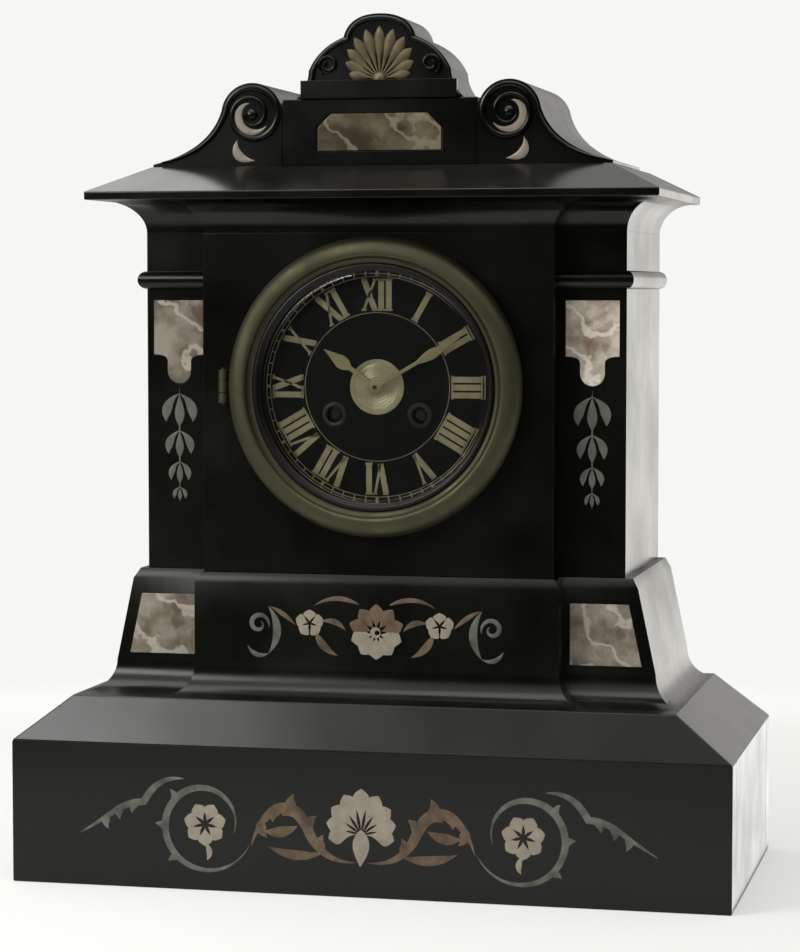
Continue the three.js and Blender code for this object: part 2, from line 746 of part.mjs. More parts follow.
function addFrontRing(group) {
  const ledgeInner = sleeveInner - ledgeWidth;
  const seat = turned([
    [sleeveInner, seatFrontY], [seatFlangeRadius, seatFrontY], [seatFlangeRadius, centreFrontY],
    [sleeveOuter, centreFrontY], [sleeveOuter, seatBackY], [ledgeInner, seatBackY],
    [ledgeInner, dialBackY], [sleeveInner, dialBackY],
  ], ringSides);
  const seatArm = {
    x0: bezelHinge.x, x1: 1 - seatFlangeRadius, y0: seatFrontY, y1: centreFrontY - runningGap,
  };
  const hingedSeat = withKnuckles(seat, bezelHinge, outerSpans, seatArm);
  add(group, 'bezel_seat', cut(hingedSeat, hingeBore(bezelHinge)), brass);

  const crownY = bezelFrontY;
  const rebateY = glassFrontY - runningGap;
  const rebateRadius = (glassRadius + runningGap) / atFlat(1, bezelSides);
  const bezel = turned([
    [rebateRadius, bezelBackY], [bezelRadius, bezelBackY], [bezelRadius, bezelBackY - bezelEdge],
    [bezelRadius - rollInset, crownY + rollFall], [bezelRadius - crownInset, crownY],
    [bezelRadius - hollowInset, crownY + hollowFall], [bezelRadius - beadInset, crownY + beadFall],
    [bezelOpening, crownY + lipFall], [bezelOpening, rebateY], [rebateRadius, rebateY],
  ], bezelSides);
  const bezelArm = { x0: bezelHinge.x, x1: 2 - bezelRadius, y0: bezelHinge.y, y1: bezelBackY - runningGap };
  const hingedBezel = withKnuckles(bezel, bezelHinge, [middleSpan], bezelArm);
  add(group, 'bezel', cut(hingedBezel, hingeBore(bezelHinge)), brass);

  add(group, 'bezel_glass', turned([
    [0, glassFrontY], [glassRadius - glassBevel, glassFrontY],
    [glassRadius, glassFrontY + glassThickness / 2], [glassRadius, glassFrontY + glassThickness],
    [0, glassFrontY + glassThickness],
  ], ringSides), glass);
  add(group, 'bezel_hinge_pin', hingePin(bezelHinge), brass);
}

// A round hole with few sides.
function holePath(place, radius, sides = 8) {
  const around = Array.from({ length: sides }, (_, i) => polar(radius, i / sides * Math.PI * 2));
  return new THREE.Path(around.map((point) => point.add(new THREE.Vector2(place.x, place.y))));
}

function discShape(radius, holes) {
  const shape = new THREE.Shape();
  shape.absarc(0, 0, radius, 0, Math.PI * 2, false);
  holes.forEach(({ place, hole, sides }) => shape.holes.push(holePath(place, hole, sides)));
  return shape;
}

// Dial with its two winding holes, standing on the front plate by three feet.
function addDial(group) {
  const centreHole = hourPipeRadius + runningGap;
  const disc = plate(discShape(dialRadius, [
    { place: centreArbor, hole: centreHole, sides: 10 },
    { place: goingArbor, hole: windingHoleRadius, sides: 12 },
    { place: strikeArbor, hole: windingHoleRadius, sides: 12 },
  ]), dialFrontY, dialThickness, 16);
  const feet = [90, 210, 330].map((degrees) => {
    const place = polar(plateRadius - dialFootInset, THREE.MathUtils.degToRad(degrees));
    return bar(dialFootRadius, dialBackY - dialThickness / 3, frontPlateY, place.x, place.y, 6);
  });
  add(group, 'dial', join(disc, ...feet), blackDial);
  add(group, 'dial_centre', turned([
    [centreHole, dialFrontY - dialCentreRelief], [dialCentreRadius - 1, dialFrontY - dialCentreRelief],
    [dialCentreRadius, dialFrontY], [centreHole, dialFrontY],
  ], 20), gilt);
}

// Hand outline along +Z: a ring boss, a tapering stalk, a swelling near the end and a point.
function handShape(length, boss, swell, bore) {
  const shape = new THREE.Shape();
  const swellZ = length * 0.68;
  shape.absarc(0, 0, boss, Math.PI / 2 + 0.32, Math.PI / 2 - 0.32 + Math.PI * 2, false);
  shape.lineTo(swell * 0.34, length * 0.5);
  shape.quadraticCurveTo(swell * 1.1, swellZ - swell, swell, swellZ);
  shape.quadraticCurveTo(swell * 0.5, length * 0.82, 0, length);
  shape.quadraticCurveTo(-swell * 0.5, length * 0.82, -swell, swellZ);
  shape.quadraticCurveTo(-swell * 1.1, swellZ - swell, -swell * 0.34, length * 0.5);
  shape.closePath();
  shape.holes.push(holePath({ x: 0, y: 0 }, bore));
  return shape;
}

function addHands(group) {
  const hourShape = handShape(hourHandLength, 4.2, 3.4, hourPipeRadius - hourPipeStep + runningGap);
  add(group, 'hour_hand', plate(hourShape, handY, handThickness, 5).rotateY(hourHandAngle), steel);
  const minuteY = handY - handThickness - runningGap - 0.4;
  const minuteShape = handShape(minuteHandLength, 3, 2.6, minuteArborRadius + runningGap);
  const minute = plate(minuteShape, minuteY, handThickness, 5);
  add(group, 'minute_hand', minute.rotateY(minuteHandAngle), steel);
}

// Toothed outline, with a tooth centred on the given angle: pointed wheel teeth, or blunt pinion leaves.
// Addenda, dedenda and half widths are shares of the module and of the pitch, as in a table of teeth.
function toothedShape({ teeth, module, angle, leaf = false }) {
  const pitchRadius = teeth * module / 2;
  const tip = pitchRadius + module * (leaf ? 0.5 : 0.95);
  const root = pitchRadius - module * (leaf ? 1.2 : 1.1);
  const pitchAngle = Math.PI * 2 / teeth;
  const outline = [];
  for (let i = 0; i < teeth; i += 1) {
    const middle = angle + i * pitchAngle;
    const turned = (radius, share) => polar(radius, middle + share * pitchAngle);
    outline.push(...(leaf
      ? [turned(root, -0.17), turned(tip, -0.1), turned(tip, 0.1), turned(root, 0.17)]
      : [turned(root, -0.5), turned(tip, 0)]));
  }
  return new THREE.Shape(outline);
}

// Windows between the arms of a wheel.
function windows(rim, hub, arms, angle) {
  const armHalf = 1.1;
  return Array.from({ length: arms }, (_, i) => {
    const start = angle + i * Math.PI * 2 / arms;
    const end = start + Math.PI * 2 / arms;
    const path = new THREE.Path();
    path.absarc(0, 0, rim, start + armHalf / rim, end - armHalf / rim, false);
    path.absarc(0, 0, hub, end - armHalf / hub, start + armHalf / hub, true);
    path.closePath();
    return path;
  });
}

function wheel(gear, depth, thickness, arms = 4) {
  const shape = toothedShape(gear);
  const rim = gear.teeth * gear.module / 2 - gear.module * 0.85 - 1.6;
  if (arms) shape.holes.push(...windows(rim, 3, arms, gear.angle));
  return plate(shape, trainY + depth, thickness, 2);
}

const leafPinion = (gear, from, to) => plate(toothedShape({ ...gear, leaf: true }), trainY + from, to - from);

// An arbor between the plates with a pivot through each of them.
function arbor(radius, frontReach = plateThickness, backReach = plateThickness) {
  const start = trainY + runningGap;
  const end = backPlateY - runningGap;
  return [
    bar(radius, start, end, 0, 0, 6),
    bar(pivotRadius, trainY - frontReach, backPlateY + backReach, 0, 0, 6),
  ];
}

const directionOf = (from, to) => Math.atan2(to.y - from.y, to.x - from.x);
const gapTowards = (angle, teeth) => angle + Math.PI + Math.PI / teeth;
const drumEnd = drumStart + drumDepth;
const secondWheelEnd = secondWheelDepth + wheelThickness;

const greatWheelToSecond = directionOf(goingArbor, secondArbor);
const secondToCentre = directionOf(secondArbor, centreArbor);
const centreToThird = directionOf(centreArbor, thirdArbor);
const thirdToEscape = directionOf(thirdArbor, escapeArbor);
const centreToMinute = directionOf(centreArbor, minuteArbor);

// Barrel: a drum for the mainspring with its great wheel, running on the winding arbor.
function barrelGeometry() {
  const bore = windingArborRadius + runningGap;
  const drum = turned([
    [bore, trainY + drumStart], [drumRadius, trainY + drumStart], [drumRadius, trainY + drumEnd],
    [bore, trainY + drumEnd],
  ], 24);
  const gear = { teeth: barrelTeeth, module: barrelModule, angle: greatWheelToSecond };
  const teeth = wheel(gear, drumEnd - 0.5, greatWheelThickness + 0.5, 0);
  return join(drum, cut(teeth, bar(bore, trainY, backPlateY)));
}

// Winding arbor: a square for the key, a ratchet wheel in front of the plate and a plain shaft.
function windingArborGeometry() {
  const half = squareSide / 2;
  const ratchet = toothedShape({ teeth: ratchetTeeth, module: ratchetModule, angle: 0 });
  const ratchetY = frontPlateY - runningGap - ratchetThickness;
  return join(
    bar(windingArborRadius, ratchetY + ratchetThickness / 2, backPlateY - runningGap, 0, 0, 10),
    bar(windingPivotRadius, trainY, behindPlateY, 0, 0, 6),
    plate(ratchet, ratchetY, ratchetThickness),
    box(-half, half, dialBackY + squareReach, frontPlateY, -half, half));
}

function addTrain(group) {
  add(group, 'going_barrel', barrelGeometry(), brass, goingArbor);
  add(group, 'going_winding_arbor', windingArborGeometry(), steel, goingArbor);
  add(group, 'strike_barrel', barrelGeometry(), brass, strikeArbor);
  add(group, 'strike_winding_arbor', windingArborGeometry(), steel, strikeArbor);

  const secondPinion = {
    teeth: secondPinionTeeth, module: barrelModule, angle: gapTowards(greatWheelToSecond, secondPinionTeeth),
  };
  const secondGear = { teeth: secondTeeth, module: secondModule, angle: secondToCentre };
  add(group, 'second_wheel', join(
    ...arbor(1.4),
    leafPinion(secondPinion, drumEnd - pinionOverlap, secondWheelDepth + 0.2),
    wheel(secondGear, secondWheelDepth, wheelThickness),
    bar(3.4, trainY + secondWheelDepth - 0.5, trainY + secondWheelEnd + 0.6, 0, 0, 8),
  ), brass, secondArbor);

  const centrePinion = {
    teeth: centrePinionTeeth, module: secondModule, angle: gapTowards(secondToCentre, centrePinionTeeth),
  };
  const centreGear = { teeth: centreTeeth, module: centreModule, angle: centreToThird };
  const cannonAngle = gapTowards(centreToMinute + Math.PI, cannonTeeth);
  const cannon = { teeth: cannonTeeth, module: motionModule, angle: cannonAngle };
  const cannonY = frontPlateY - runningGap - 2;
  add(group, 'centre_wheel', join(
    ...arbor(1.25),
    leafPinion(centrePinion, secondWheelDepth - pinionOverlap, secondWheelEnd + pinionOverlap),
    wheel(centreGear, centreWheelDepth, wheelThickness),
    bar(3.4, trainY + centreWheelDepth - 0.4, trainY + centreWheelDepth + wheelThickness + 0.4, 0, 0, 8),
    plate(toothedShape({ ...cannon, leaf: true }), cannonY, 2),
    bar(minutePipeRadius, handY - 0.6, frontPlateY - runningGap, 0, 0, 8),
    bar(minuteArborRadius, handY - 3, trainY, 0, 0, 8),
  ), brass, centreArbor);

  const thirdPinion = {
    teeth: thirdPinionTeeth, module: centreModule, angle: gapTowards(centreToThird, thirdPinionTeeth),
  };
  const thirdGear = { teeth: thirdTeeth, module: thirdModule, angle: thirdToEscape };
  add(group, 'third_wheel', join(
    ...arbor(0.65).slice(0, 1),
    bar(0.6, frontPlateY, behindPlateY, 0, 0, 6),
    leafPinion(thirdPinion, centreWheelDepth - 0.6, centreWheelDepth + wheelThickness + 0.6),
    bar(1.2, trainY + centreWheelDepth + wheelThickness + 0.5, trainY + thirdWheelDepth + 0.3, 0, 0, 6),
    wheel(thirdGear, thirdWheelDepth, wheelThickness),
    bar(3.4, trainY + thirdWheelDepth - 0.4, trainY + thirdWheelDepth + wheelThickness + 0.4, 0, 0, 8),
  ), brass, thirdArbor);

  const escapePinion = {
    teeth: escapePinionTeeth, module: thirdModule, angle: gapTowards(thirdToEscape, escapePinionTeeth),
  };
  add(group, 'escape_wheel', join(
    ...arbor(0.6).slice(0, 1),
    bar(0.55, frontPlateY, behindPlateY, 0, 0, 6),
    bar(1.2, trainY + 2, trainY + thirdWheelDepth - 0.8, 0, 0, 6),
    leafPinion(escapePinion, thirdWheelDepth - 1, thirdWheelDepth + wheelThickness + 1),
    plate(escapeShape(), trainY + escapeWheelDepth, wheelThickness, 2),
    bar(2.4, trainY + escapeWheelDepth - 0.6, trainY + escapeWheelDepth + wheelThickness + 0.6, 0, 0, 8),
  ), brass, escapeArbor);
}

// Escape wheel: pointed teeth that lean forwards.
function escapeShape() {
  const pitchAngle = Math.PI * 2 / escapeTeeth;
  const outline = [];
  for (let i = 0; i < escapeTeeth; i += 1) {
    const angle = i * pitchAngle;
    outline.push(polar(escapeRadius - 1.7, angle - pitchAngle * 0.42), polar(escapeRadius, angle),
      polar(escapeRadius - 1.7, angle + pitchAngle * 0.12));
  }
  const shape = new THREE.Shape(outline);
  shape.holes.push(...windows(escapeRadius - 3, 2, 4, 0));
  return shape;
}

// Motion work in front of the front plate: it drives the hour hand from the centre arbor.
function addMotionWork(group) {
  const cannonY = frontPlateY - runningGap - 2;
  const minuteToCentre = directionOf(minuteArbor, centreArbor);
  const minuteGear = { teeth: minuteTeeth, module: motionModule, angle: minuteToCentre };
  const hourGear = { teeth: hourTeeth, module: motionModule, angle: centreToMinute };
  const minutePinion = {
    teeth: minutePinionTeeth, module: motionModule, angle: gapTowards(centreToMinute, minutePinionTeeth),
  };
  const stud = 1;
  const bore = bar(stud + runningGap, dialBackY, trainY, 0, 0, 8);
  add(group, 'minute_wheel', cut(join(
    plate(toothedShape(minuteGear), cannonY + 0.3, 1.4),
    plate(toothedShape({ ...minutePinion, leaf: true }), cannonY - 2.4, 3),
  ), bore), brass, minuteArbor);

  const hourWheel = plate(toothedShape(hourGear), cannonY - 2.1, 1.5);
  const pipe = bar(hourPipeRadius, dialFrontY - dialCentreRelief - 0.6, cannonY - 1.5, 0, 0, 12);
  const step = bar(hourPipeRadius - hourPipeStep, handY - 0.2, cannonY - 1.5, 0, 0, 12);
  const clear = bar(minutePipeRadius + runningGap, handY - 2, trainY, 0, 0, 10);
  add(group, 'hour_wheel', cut(join(hourWheel, pipe, step), clear), brass, centreArbor);
}

// Front and back plates, with a hole for each pivot.
function addPlates(group) {
  const pivot = (place, radius) => ({ place, hole: (radius + runningGap) / atFlat(1, 6), sides: 6 });
  const fine = [pivot(thirdArbor, 0.6), pivot(escapeArbor, 0.55)];
  const front = [
    pivot(goingArbor, windingArborRadius), pivot(strikeArbor, windingArborRadius),
    pivot(centreArbor, minuteArborRadius), pivot(secondArbor, pivotRadius), ...fine,
    pivot(anchorArbor, pivotRadius), pivot(hammerArbor, pivotRadius),
  ];
  const back = [
    pivot(centreArbor, pivotRadius), pivot(secondArbor, pivotRadius), ...fine,
    pivot(goingArbor, windingPivotRadius), pivot(strikeArbor, windingPivotRadius),
    pivot(anchorArbor, pivotRadius), pivot(hammerArbor, pivotRadius),
  ];
  const studBar = bar(1, frontPlateY - 5, frontPlateY + 0.5, minuteArbor.x, minuteArbor.y, 8);
  const frontPlate = plate(discShape(plateRadius, front), frontPlateY, plateThickness, 12);
  add(group, 'front_plate', join(frontPlate, studBar), brass);
  add(group, 'back_plate', plate(discShape(plateRadius, back), backPlateY, plateThickness, 12), brass);
  pillarPlaces.forEach((place, i) => {
    const middle = plateGap / 2;
    const pillar = turned([
      [0, trainY], [pillarRadius + 0.8, trainY], [pillarRadius, trainY + 3],
      [pillarRadius - 0.5, trainY + middle], [pillarRadius, backPlateY - 3],
      [pillarRadius + 0.8, backPlateY], [0, backPlateY],
    ], 7);
    add(group, `pillar_${i + 1}`, pillar, brass, place);
  });
}

// Anchor: two pallets over the escape wheel, an arbor through the back plate and a crutch to the rod.
function addAnchor(group) {
  const drop = anchorArbor.y - escapeArbor.y;
  const halfSpan = Math.acos(escapeRadius / drop);
  const reach = Math.sqrt(drop ** 2 - escapeRadius ** 2);
  const lift = reach * Math.sin(anchorSwing) + palletClearance;
  const thickness = wheelThickness + 1;
  const depth = escapeWheelDepth - 0.5;
  const pallet = (side) => {
    const angle = Math.PI / 2 + side * halfSpan;
    const tip = polar(escapeRadius + lift, angle).add(new THREE.Vector2(0, -drop));
    const outward = polar(1, angle);
    const across = new THREE.Vector2(-outward.y, outward.x);
    const corner = (out, aside) => tip.clone().addScaledVector(outward, out).addScaledVector(across, aside);
    const block = new THREE.Shape([corner(0.05, -1), corner(0.05, 1), corner(4, 1.2), corner(4, -1.2)]);
    const shoulder = corner(3.4, 0);
    const arm = new THREE.Shape([
      shoulder.clone().add(new THREE.Vector2(0, -1.3)), shoulder.clone().add(new THREE.Vector2(0, 1.3)),
      new THREE.Vector2(0, 2), new THREE.Vector2(0, -2),
    ]);
    return [plate(block, trainY + depth, thickness), plate(arm, trainY + depth, thickness)];
  };
  const crutchY = behindPlateY + 2.5;
  const prong = rodRadius + runningGap + 0.15;
  const forkZ = -24;
  const rearY = pendulumY + rodRadius + 1.5;
  add(group, 'anchor', join(
    ...arbor(1.3),
    bar(2.6, trainY + depth - 0.6, trainY + depth + thickness + 0.6, 0, 0, 10),
    ...pallet(-1), ...pallet(1),
    bar(pivotRadius, backPlateY, crutchY + 1.2, 0, 0, 6),
    box(-1.2, 1.2, crutchY, crutchY + 1.5, forkZ, 1.2),
    box(-prong - 1.4, prong + 1.4, crutchY, crutchY + 1.5, forkZ - 1.5, forkZ + 1.5),
    box(-prong - 1.4, -prong, crutchY, rearY, forkZ - 1.5, forkZ + 1.5),
    box(prong, prong + 1.4, crutchY, rearY, forkZ - 1.5, forkZ + 1.5),
  ), steel, anchorArbor);
}

// Pendulum: its spring hangs in the slot of the suspension cock; the bob is a lens.
function addPendulum(group) {
  const bobTop = bobRadius - pendulumDrop;
  const bobFoot = -bobRadius - pendulumDrop;
  const nutTop = bobFoot - runningGap;
  const [frontY, rearY] = [pendulumY - springHalfWidth, pendulumY + springHalfWidth];
  const rod = join(
    box(-springHalfThickness, springHalfThickness, frontY, rearY, -springDrop, cockHigh + springPinRise / 2),
    box(-springPinHalf, springPinHalf, frontY, rearY, cockHigh + runningGap, cockHigh + springPinRise),
    box(-clampHalf, clampHalf, frontY, rearY, -clampFoot, 1 - springDrop),
    upright(rodRadius, bobTop + runningGap, 1 - clampFoot, 0, pendulumY, 8),
    upright(rodThinRadius, bobFoot - rodTail, bobTop + overrun, 0, pendulumY, 8),
    upright(ratingNutRadius, nutTop - ratingNutHeight, nutTop, 0, pendulumY, 14),
  );
  add(group, 'pendulum_rod', rod, brass, anchorArbor);
  const rim = 1;
  const steps = 4;
  const lens = Array.from({ length: steps + 1 }, (_, i) => {
    const share = i / steps;
    return [bobRadius * share, rim + (bobThickness / 2 - rim) * Math.sqrt(1 - share ** 2)];
  });
  const profile = [
    ...lens.map(([radius, half]) => [radius, pendulumY - half]),
    ...lens.reverse().map(([radius, half]) => [radius, pendulumY + half]),
  ];
  const bob = turned(profile, 20).translate(0, 0, -pendulumDrop);
  const bore = upright(rodThinRadius + runningGap, bobFoot - overrun, bobTop + overrun, 0, pendulumY, 10);
  add(group, 'pendulum_bob', cut(bob, bore), brass, anchorArbor);

  const [footInner, footOuter] = [8, 15];
  const bridgeY = pendulumY - cockHalfDepth;
  const bridgeRearY = pendulumY + cockHalfDepth;
  const slotHalf = springHalfThickness + cockSlotGap;
  add(group, 'suspension_cock', cut(
    join(
      box(-footOuter, -footInner, behindPlateY, bridgeY + 1, cockLow, cockHigh),
      box(footInner, footOuter, behindPlateY, bridgeY + 1, cockLow, cockHigh),
      box(-footOuter, footOuter, bridgeY, bridgeRearY, cockLow, cockHigh)),
    box(-slotHalf, slotHalf, frontY - runningGap, bridgeRearY + overrun,
      cockLow - overrun, cockHigh + overrun),
  ), brass, anchorArbor);
}

// Bell on its stand, and the hammer that strikes its rim.
function addBell(group) {
  const frontY = behindPlateY + bellFrontDepth;
  const rearY = frontY + bellDepth;
  const stemRadius = 2;
  const inner = bellRadius - bellWall;
  add(group, 'bell', turned([
    [stemRadius + runningGap, rearY - bellWall], [inner * 0.55, rearY - bellWall], [inner * 0.84, rearY - 5],
    [inner * 0.96, frontY + 7], [inner, frontY], [bellRadius, frontY], [bellRadius * 0.97, frontY + 7],
    [bellRadius * 0.86, rearY - 4], [bellRadius * 0.6, rearY], [stemRadius + runningGap, rearY],
  ], 20), brass);

  const standPlace = new THREE.Vector2(bellStandX, -bellStandDrop);
  const armY = frontY - 5;
  const half = bellArmHalfWidth;
  const arm = box(-half, standPlace.length() + half, armY, armY + bellArmThickness, -half, half)
    .rotateY(-Math.atan2(standPlace.y, standPlace.x));
  add(group, 'bell_stand', join(
    bar(bellStandRadius, behindPlateY, armY + bellArmThickness / 3, standPlace.x, standPlace.y),
    arm,
    bar(stemRadius, armY + 1, rearY + 4),
    bar(stemRadius + 1.6, armY + 2, rearY - bellWall - runningGap),
    bar(stemRadius + 2, rearY + runningGap, rearY + 3, 0, 0, 6),
  ), steel);

  const headX = -(bellRadius + hammerGap + hammerHeadRadius) - hammerX;
  const headZ = -3 - hammerZ;
  const armFrontY = frontY + 1.5;
  const armRearY = armFrontY + hammerArmThickness;
  const head = new THREE.CylinderGeometry(hammerHeadRadius, hammerHeadRadius, hammerHeadLength, 14);
  add(group, 'hammer', join(
    ...arbor(hammerArborRadius),
    bar(pivotRadius, backPlateY, armFrontY + hammerArmThickness * 0.75, 0, 0, 6),
    box(-1.4, 1.4, armFrontY, armRearY, -hammerArmDrop, 1.6),
    box(Math.min(headX, 0) - 0.9, Math.max(headX, 0) + 0.9, armFrontY, armRearY, headZ, 2 - hammerArmDrop),
    head.rotateZ(Math.PI / 2).translate(headX, (armFrontY + armRearY) / 2, headZ),
  ), steel, hammerArbor);
}

// Back ring in the rear opening, two straps that draw both rings together, and the back door.
function addBack(group) {
  const ringFrontY = bodyBackY - backSleeveDepth;
  const flangeY = bodyBackY + backFlange;
  const ledgeInner = sleeveInner - ledgeWidth;
  const ring = turned([
    [ledgeInner, ringFrontY], [sleeveOuter, ringFrontY], [sleeveOuter, bodyBackY],
    [seatFlangeRadius, bodyBackY], [seatFlangeRadius, flangeY], [sleeveInner, flangeY],
    [sleeveInner, ringFrontY + ledgeThickness], [ledgeInner, ringFrontY + ledgeThickness],
  ], ringSides);
  const ringArm = { x0: doorHinge.x - 2.2, x1: doorHinge.x + 2.2, y0: flangeY - 0.5, y1: doorHinge.y };
  const hingedRing = withKnuckles(ring, doorHinge, outerSpans, ringArm);
  add(group, 'back_ring', join(hingedRing, hingePin(doorHinge)), brass);
  const disc = plate(discShape(backDoorRadius, []), doorFrontY, backDoorThickness, 14);
  const knob = bar(2.5, doorFrontY + 0.5, doorFrontY + 5.5, backDoorRadius - 8, 0);
  const doorRearY = doorFrontY + backDoorThickness;
  const doorArm = { x0: doorHinge.x, x1: 2 - backDoorRadius, y0: doorFrontY, y1: doorRearY };
  const door = withKnuckles(join(disc, knob), doorHinge, [middleSpan], doorArm);
  add(group, 'back_door', cut(door, hingeBore(doorHinge)), brass);
  for (const [side, name] of [[-1, 'left'], [1, 'right']]) {
    const x = side * strapX;
    const half = strapThickness / 2;
    const strap = box(x - half, x + half, seatBackY, ringFrontY, -strapWidth / 2, strapWidth / 2);
    add(group, `strap_${name}`, strap, brass);
  }
}

addPlinth(parts.clock);
addPedestal(parts.clock);
addWing(parts.clock, -1, 'left');
addWing(parts.clock, 1, 'right');
addPanels(parts.clock);
addCornice(parts.clock);
addPediment(parts.clock);
addFrontRing(parts.movement);
addDial(parts.movement);
addHands(parts.movement);
addPlates(parts.movement);
addTrain(parts.movement);
addMotionWork(parts.movement);
addAnchor(parts.movement);
addPendulum(parts.movement);
addBell(parts.movement);
addBack(parts.movement);

export default parts.clock;
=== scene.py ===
# %% [markdown]
# # Dressing a black slate mantel clock
# The clock's solids come from the frame: every piece already stands where it belongs.
# This script gives them their finishes, swaps the coarse mouldings, rings and scrolls for fine
# surfaces, and adds what a mason and a gilder put on last: bevels, cut lines and gold.

import bmesh
import bpy
import numpy as np
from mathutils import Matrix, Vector


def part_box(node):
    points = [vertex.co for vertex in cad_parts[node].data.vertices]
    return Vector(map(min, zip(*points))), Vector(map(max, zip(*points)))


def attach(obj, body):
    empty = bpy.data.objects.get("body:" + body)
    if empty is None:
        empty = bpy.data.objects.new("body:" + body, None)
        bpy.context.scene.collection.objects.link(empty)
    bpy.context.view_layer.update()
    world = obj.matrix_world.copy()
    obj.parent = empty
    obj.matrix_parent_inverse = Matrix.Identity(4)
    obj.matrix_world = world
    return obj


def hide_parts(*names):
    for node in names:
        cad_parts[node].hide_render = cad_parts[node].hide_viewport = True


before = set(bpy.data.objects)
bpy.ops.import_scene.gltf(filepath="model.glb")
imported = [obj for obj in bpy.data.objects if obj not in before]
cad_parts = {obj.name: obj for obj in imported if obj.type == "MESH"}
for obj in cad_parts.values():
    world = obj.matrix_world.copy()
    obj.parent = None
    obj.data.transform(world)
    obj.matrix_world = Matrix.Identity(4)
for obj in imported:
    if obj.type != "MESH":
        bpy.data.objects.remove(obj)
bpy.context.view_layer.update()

# %% [markdown]
# ## Measuring
# Work is in millimetres, as on a drawing, and turned to metres when a mesh is made.
# The main planes are read from the frame's own boxes, so nothing has to be fitted by eye.

# %% Main planes of the case
MM = 0.001


def corners(node):
    """The lowest and highest corner of a node of the frame, in millimetres."""
    low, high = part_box(node)
    return np.array(low) / MM, np.array(high) / MM


plinth_low, plinth_high = corners("plinth_front")
wing_low, wing_high = corners("wing_right")
panel_low, panel_high = corners("front_panel")
block_low, block_high = corners("pediment_block")
dial_low, dial_high = corners("dial_centre")

PLINTH_FRONT = plinth_low[1]
PEDESTAL_Z = corners("plinth_cap")[1][2]
BODY_Z = wing_low[2]
CAPITAL_Z = wing_high[2]
COVE_Z = panel_high[2]
CORNICE_Z = corners("cornice_slab")[0][2]
ROOF_Z = block_low[2]
CREST_Z = block_high[2]
HALF_BODY = wing_high[0]
HALF_CENTRE = panel_high[0]
WING_FRONT = wing_low[1]
CENTRE_FRONT = panel_low[1]
PANEL_BACK = panel_high[1]
BODY_BACK = corners("back_panel")[1][1]
WING_X = (HALF_BODY + HALF_CENTRE) / 2
DIAL_Z = (dial_low[2] + dial_high[2]) / 2
print("case planes: body", BODY_Z, "cornice", CORNICE_Z, "crest", CREST_Z, "dial", DIAL_Z)

# %% [markdown]
# ## The camera
# A camera is a place, an aim and a lens. The photograph was taken from the right of the clock, a
# little above the dial, with a long lens, so upright edges stay nearly parallel. The aim is put
# right of and below the dial's centre, which moves the clock to its place in the picture.

# %% Camera
VIEW_AZIMUTH = np.radians(13.5)
VIEW_DISTANCE = 1440.0
VIEW_HEIGHT = 300.0
AIM_RIGHT = 11.3
AIM_DOWN = 44.7
LENS = 108.78
SENSOR = 36.0

dial_centre = np.array([0.0, dial_high[1], DIAL_Z])
away = np.array([np.sin(VIEW_AZIMUTH), -np.cos(VIEW_AZIMUTH), 0.0])
aside = np.array([np.cos(VIEW_AZIMUTH), np.sin(VIEW_AZIMUTH), 0.0])
eye = dial_centre + away * VIEW_DISTANCE
eye[2] = VIEW_HEIGHT
aim = dial_centre + aside * AIM_RIGHT - np.array([0.0, 0.0, AIM_DOWN])

camera_data = bpy.data.cameras.new("camera")
camera_data.sensor_fit = "VERTICAL"
camera_data.sensor_height = SENSOR
camera_data.lens = LENS
camera = bpy.data.objects.new("camera", camera_data)
camera.location = Vector(eye * MM)
camera.rotation_euler = Vector(aim - eye).to_track_quat("-Z", "Y").to_euler()
bpy.context.scene.collection.objects.link(camera)
bpy.context.scene.camera = camera
print("camera at", [round(value * MM, 3) for value in eye])

# %% [markdown]
# ## Surfaces as arrays
# A shape here is a grid of points: rows along one parameter, columns along the other. One
# function turns neighbours in the grid into four-sided faces, and every piece is made with it.

# %% Grids and meshes
DOUBLES_WITHIN = 2e-6


def grid_faces(rows, columns, wrap_rows=False, wrap_columns=False):
    """Four-sided faces between neighbouring points, numbered row by row; a wrap joins last to first."""
    row = np.arange(rows if wrap_rows else rows - 1)[:, None]
    column = np.arange(columns if wrap_columns else columns - 1)[None, :]
    next_row = (row + 1) % rows
    next_column = (column + 1) % columns
    quads = [row * columns + column, row * columns + next_column,
             next_row * columns + next_column, next_row * columns + column]
    return np.stack(np.broadcast_arrays(*quads), -1).reshape(-1, 4).tolist()


def together(*shapes):
    """One shape from several: their points in one array, their faces renumbered."""
    starts = np.cumsum([0] + [len(points) for points, _ in shapes])
    faces = [[index + int(start) for index in face]
             for start, (_, own) in zip(starts, shapes) for face in own]
    return np.concatenate([points for points, _ in shapes]), faces


def make_piece(name, shape, material, body="case", stands_for=(), sharp=35.0):
    """A mesh from points in millimetres, with doubles merged, faces turned outwards and shaded smooth."""
    points, faces = shape
    mesh = bpy.data.meshes.new(name)
    mesh.from_pydata((np.asarray(points) * MM).tolist(), [], faces)
    work = bmesh.new()
    work.from_mesh(mesh)
    bmesh.ops.remove_doubles(work, verts=work.verts, dist=DOUBLES_WITHIN)
    bmesh.ops.recalc_face_normals(work, faces=work.faces)
    work.to_mesh(mesh)
    work.free()
    mesh.shade_smooth()
    mesh.set_sharp_from_angle(angle=np.radians(sharp))
    mesh.materials.append(material)
    piece = bpy.data.objects.new(name, mesh)
    bpy.context.scene.collection.objects.link(piece)
    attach(piece, body)
    if stands_for:
        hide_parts(*stands_for)
    return piece


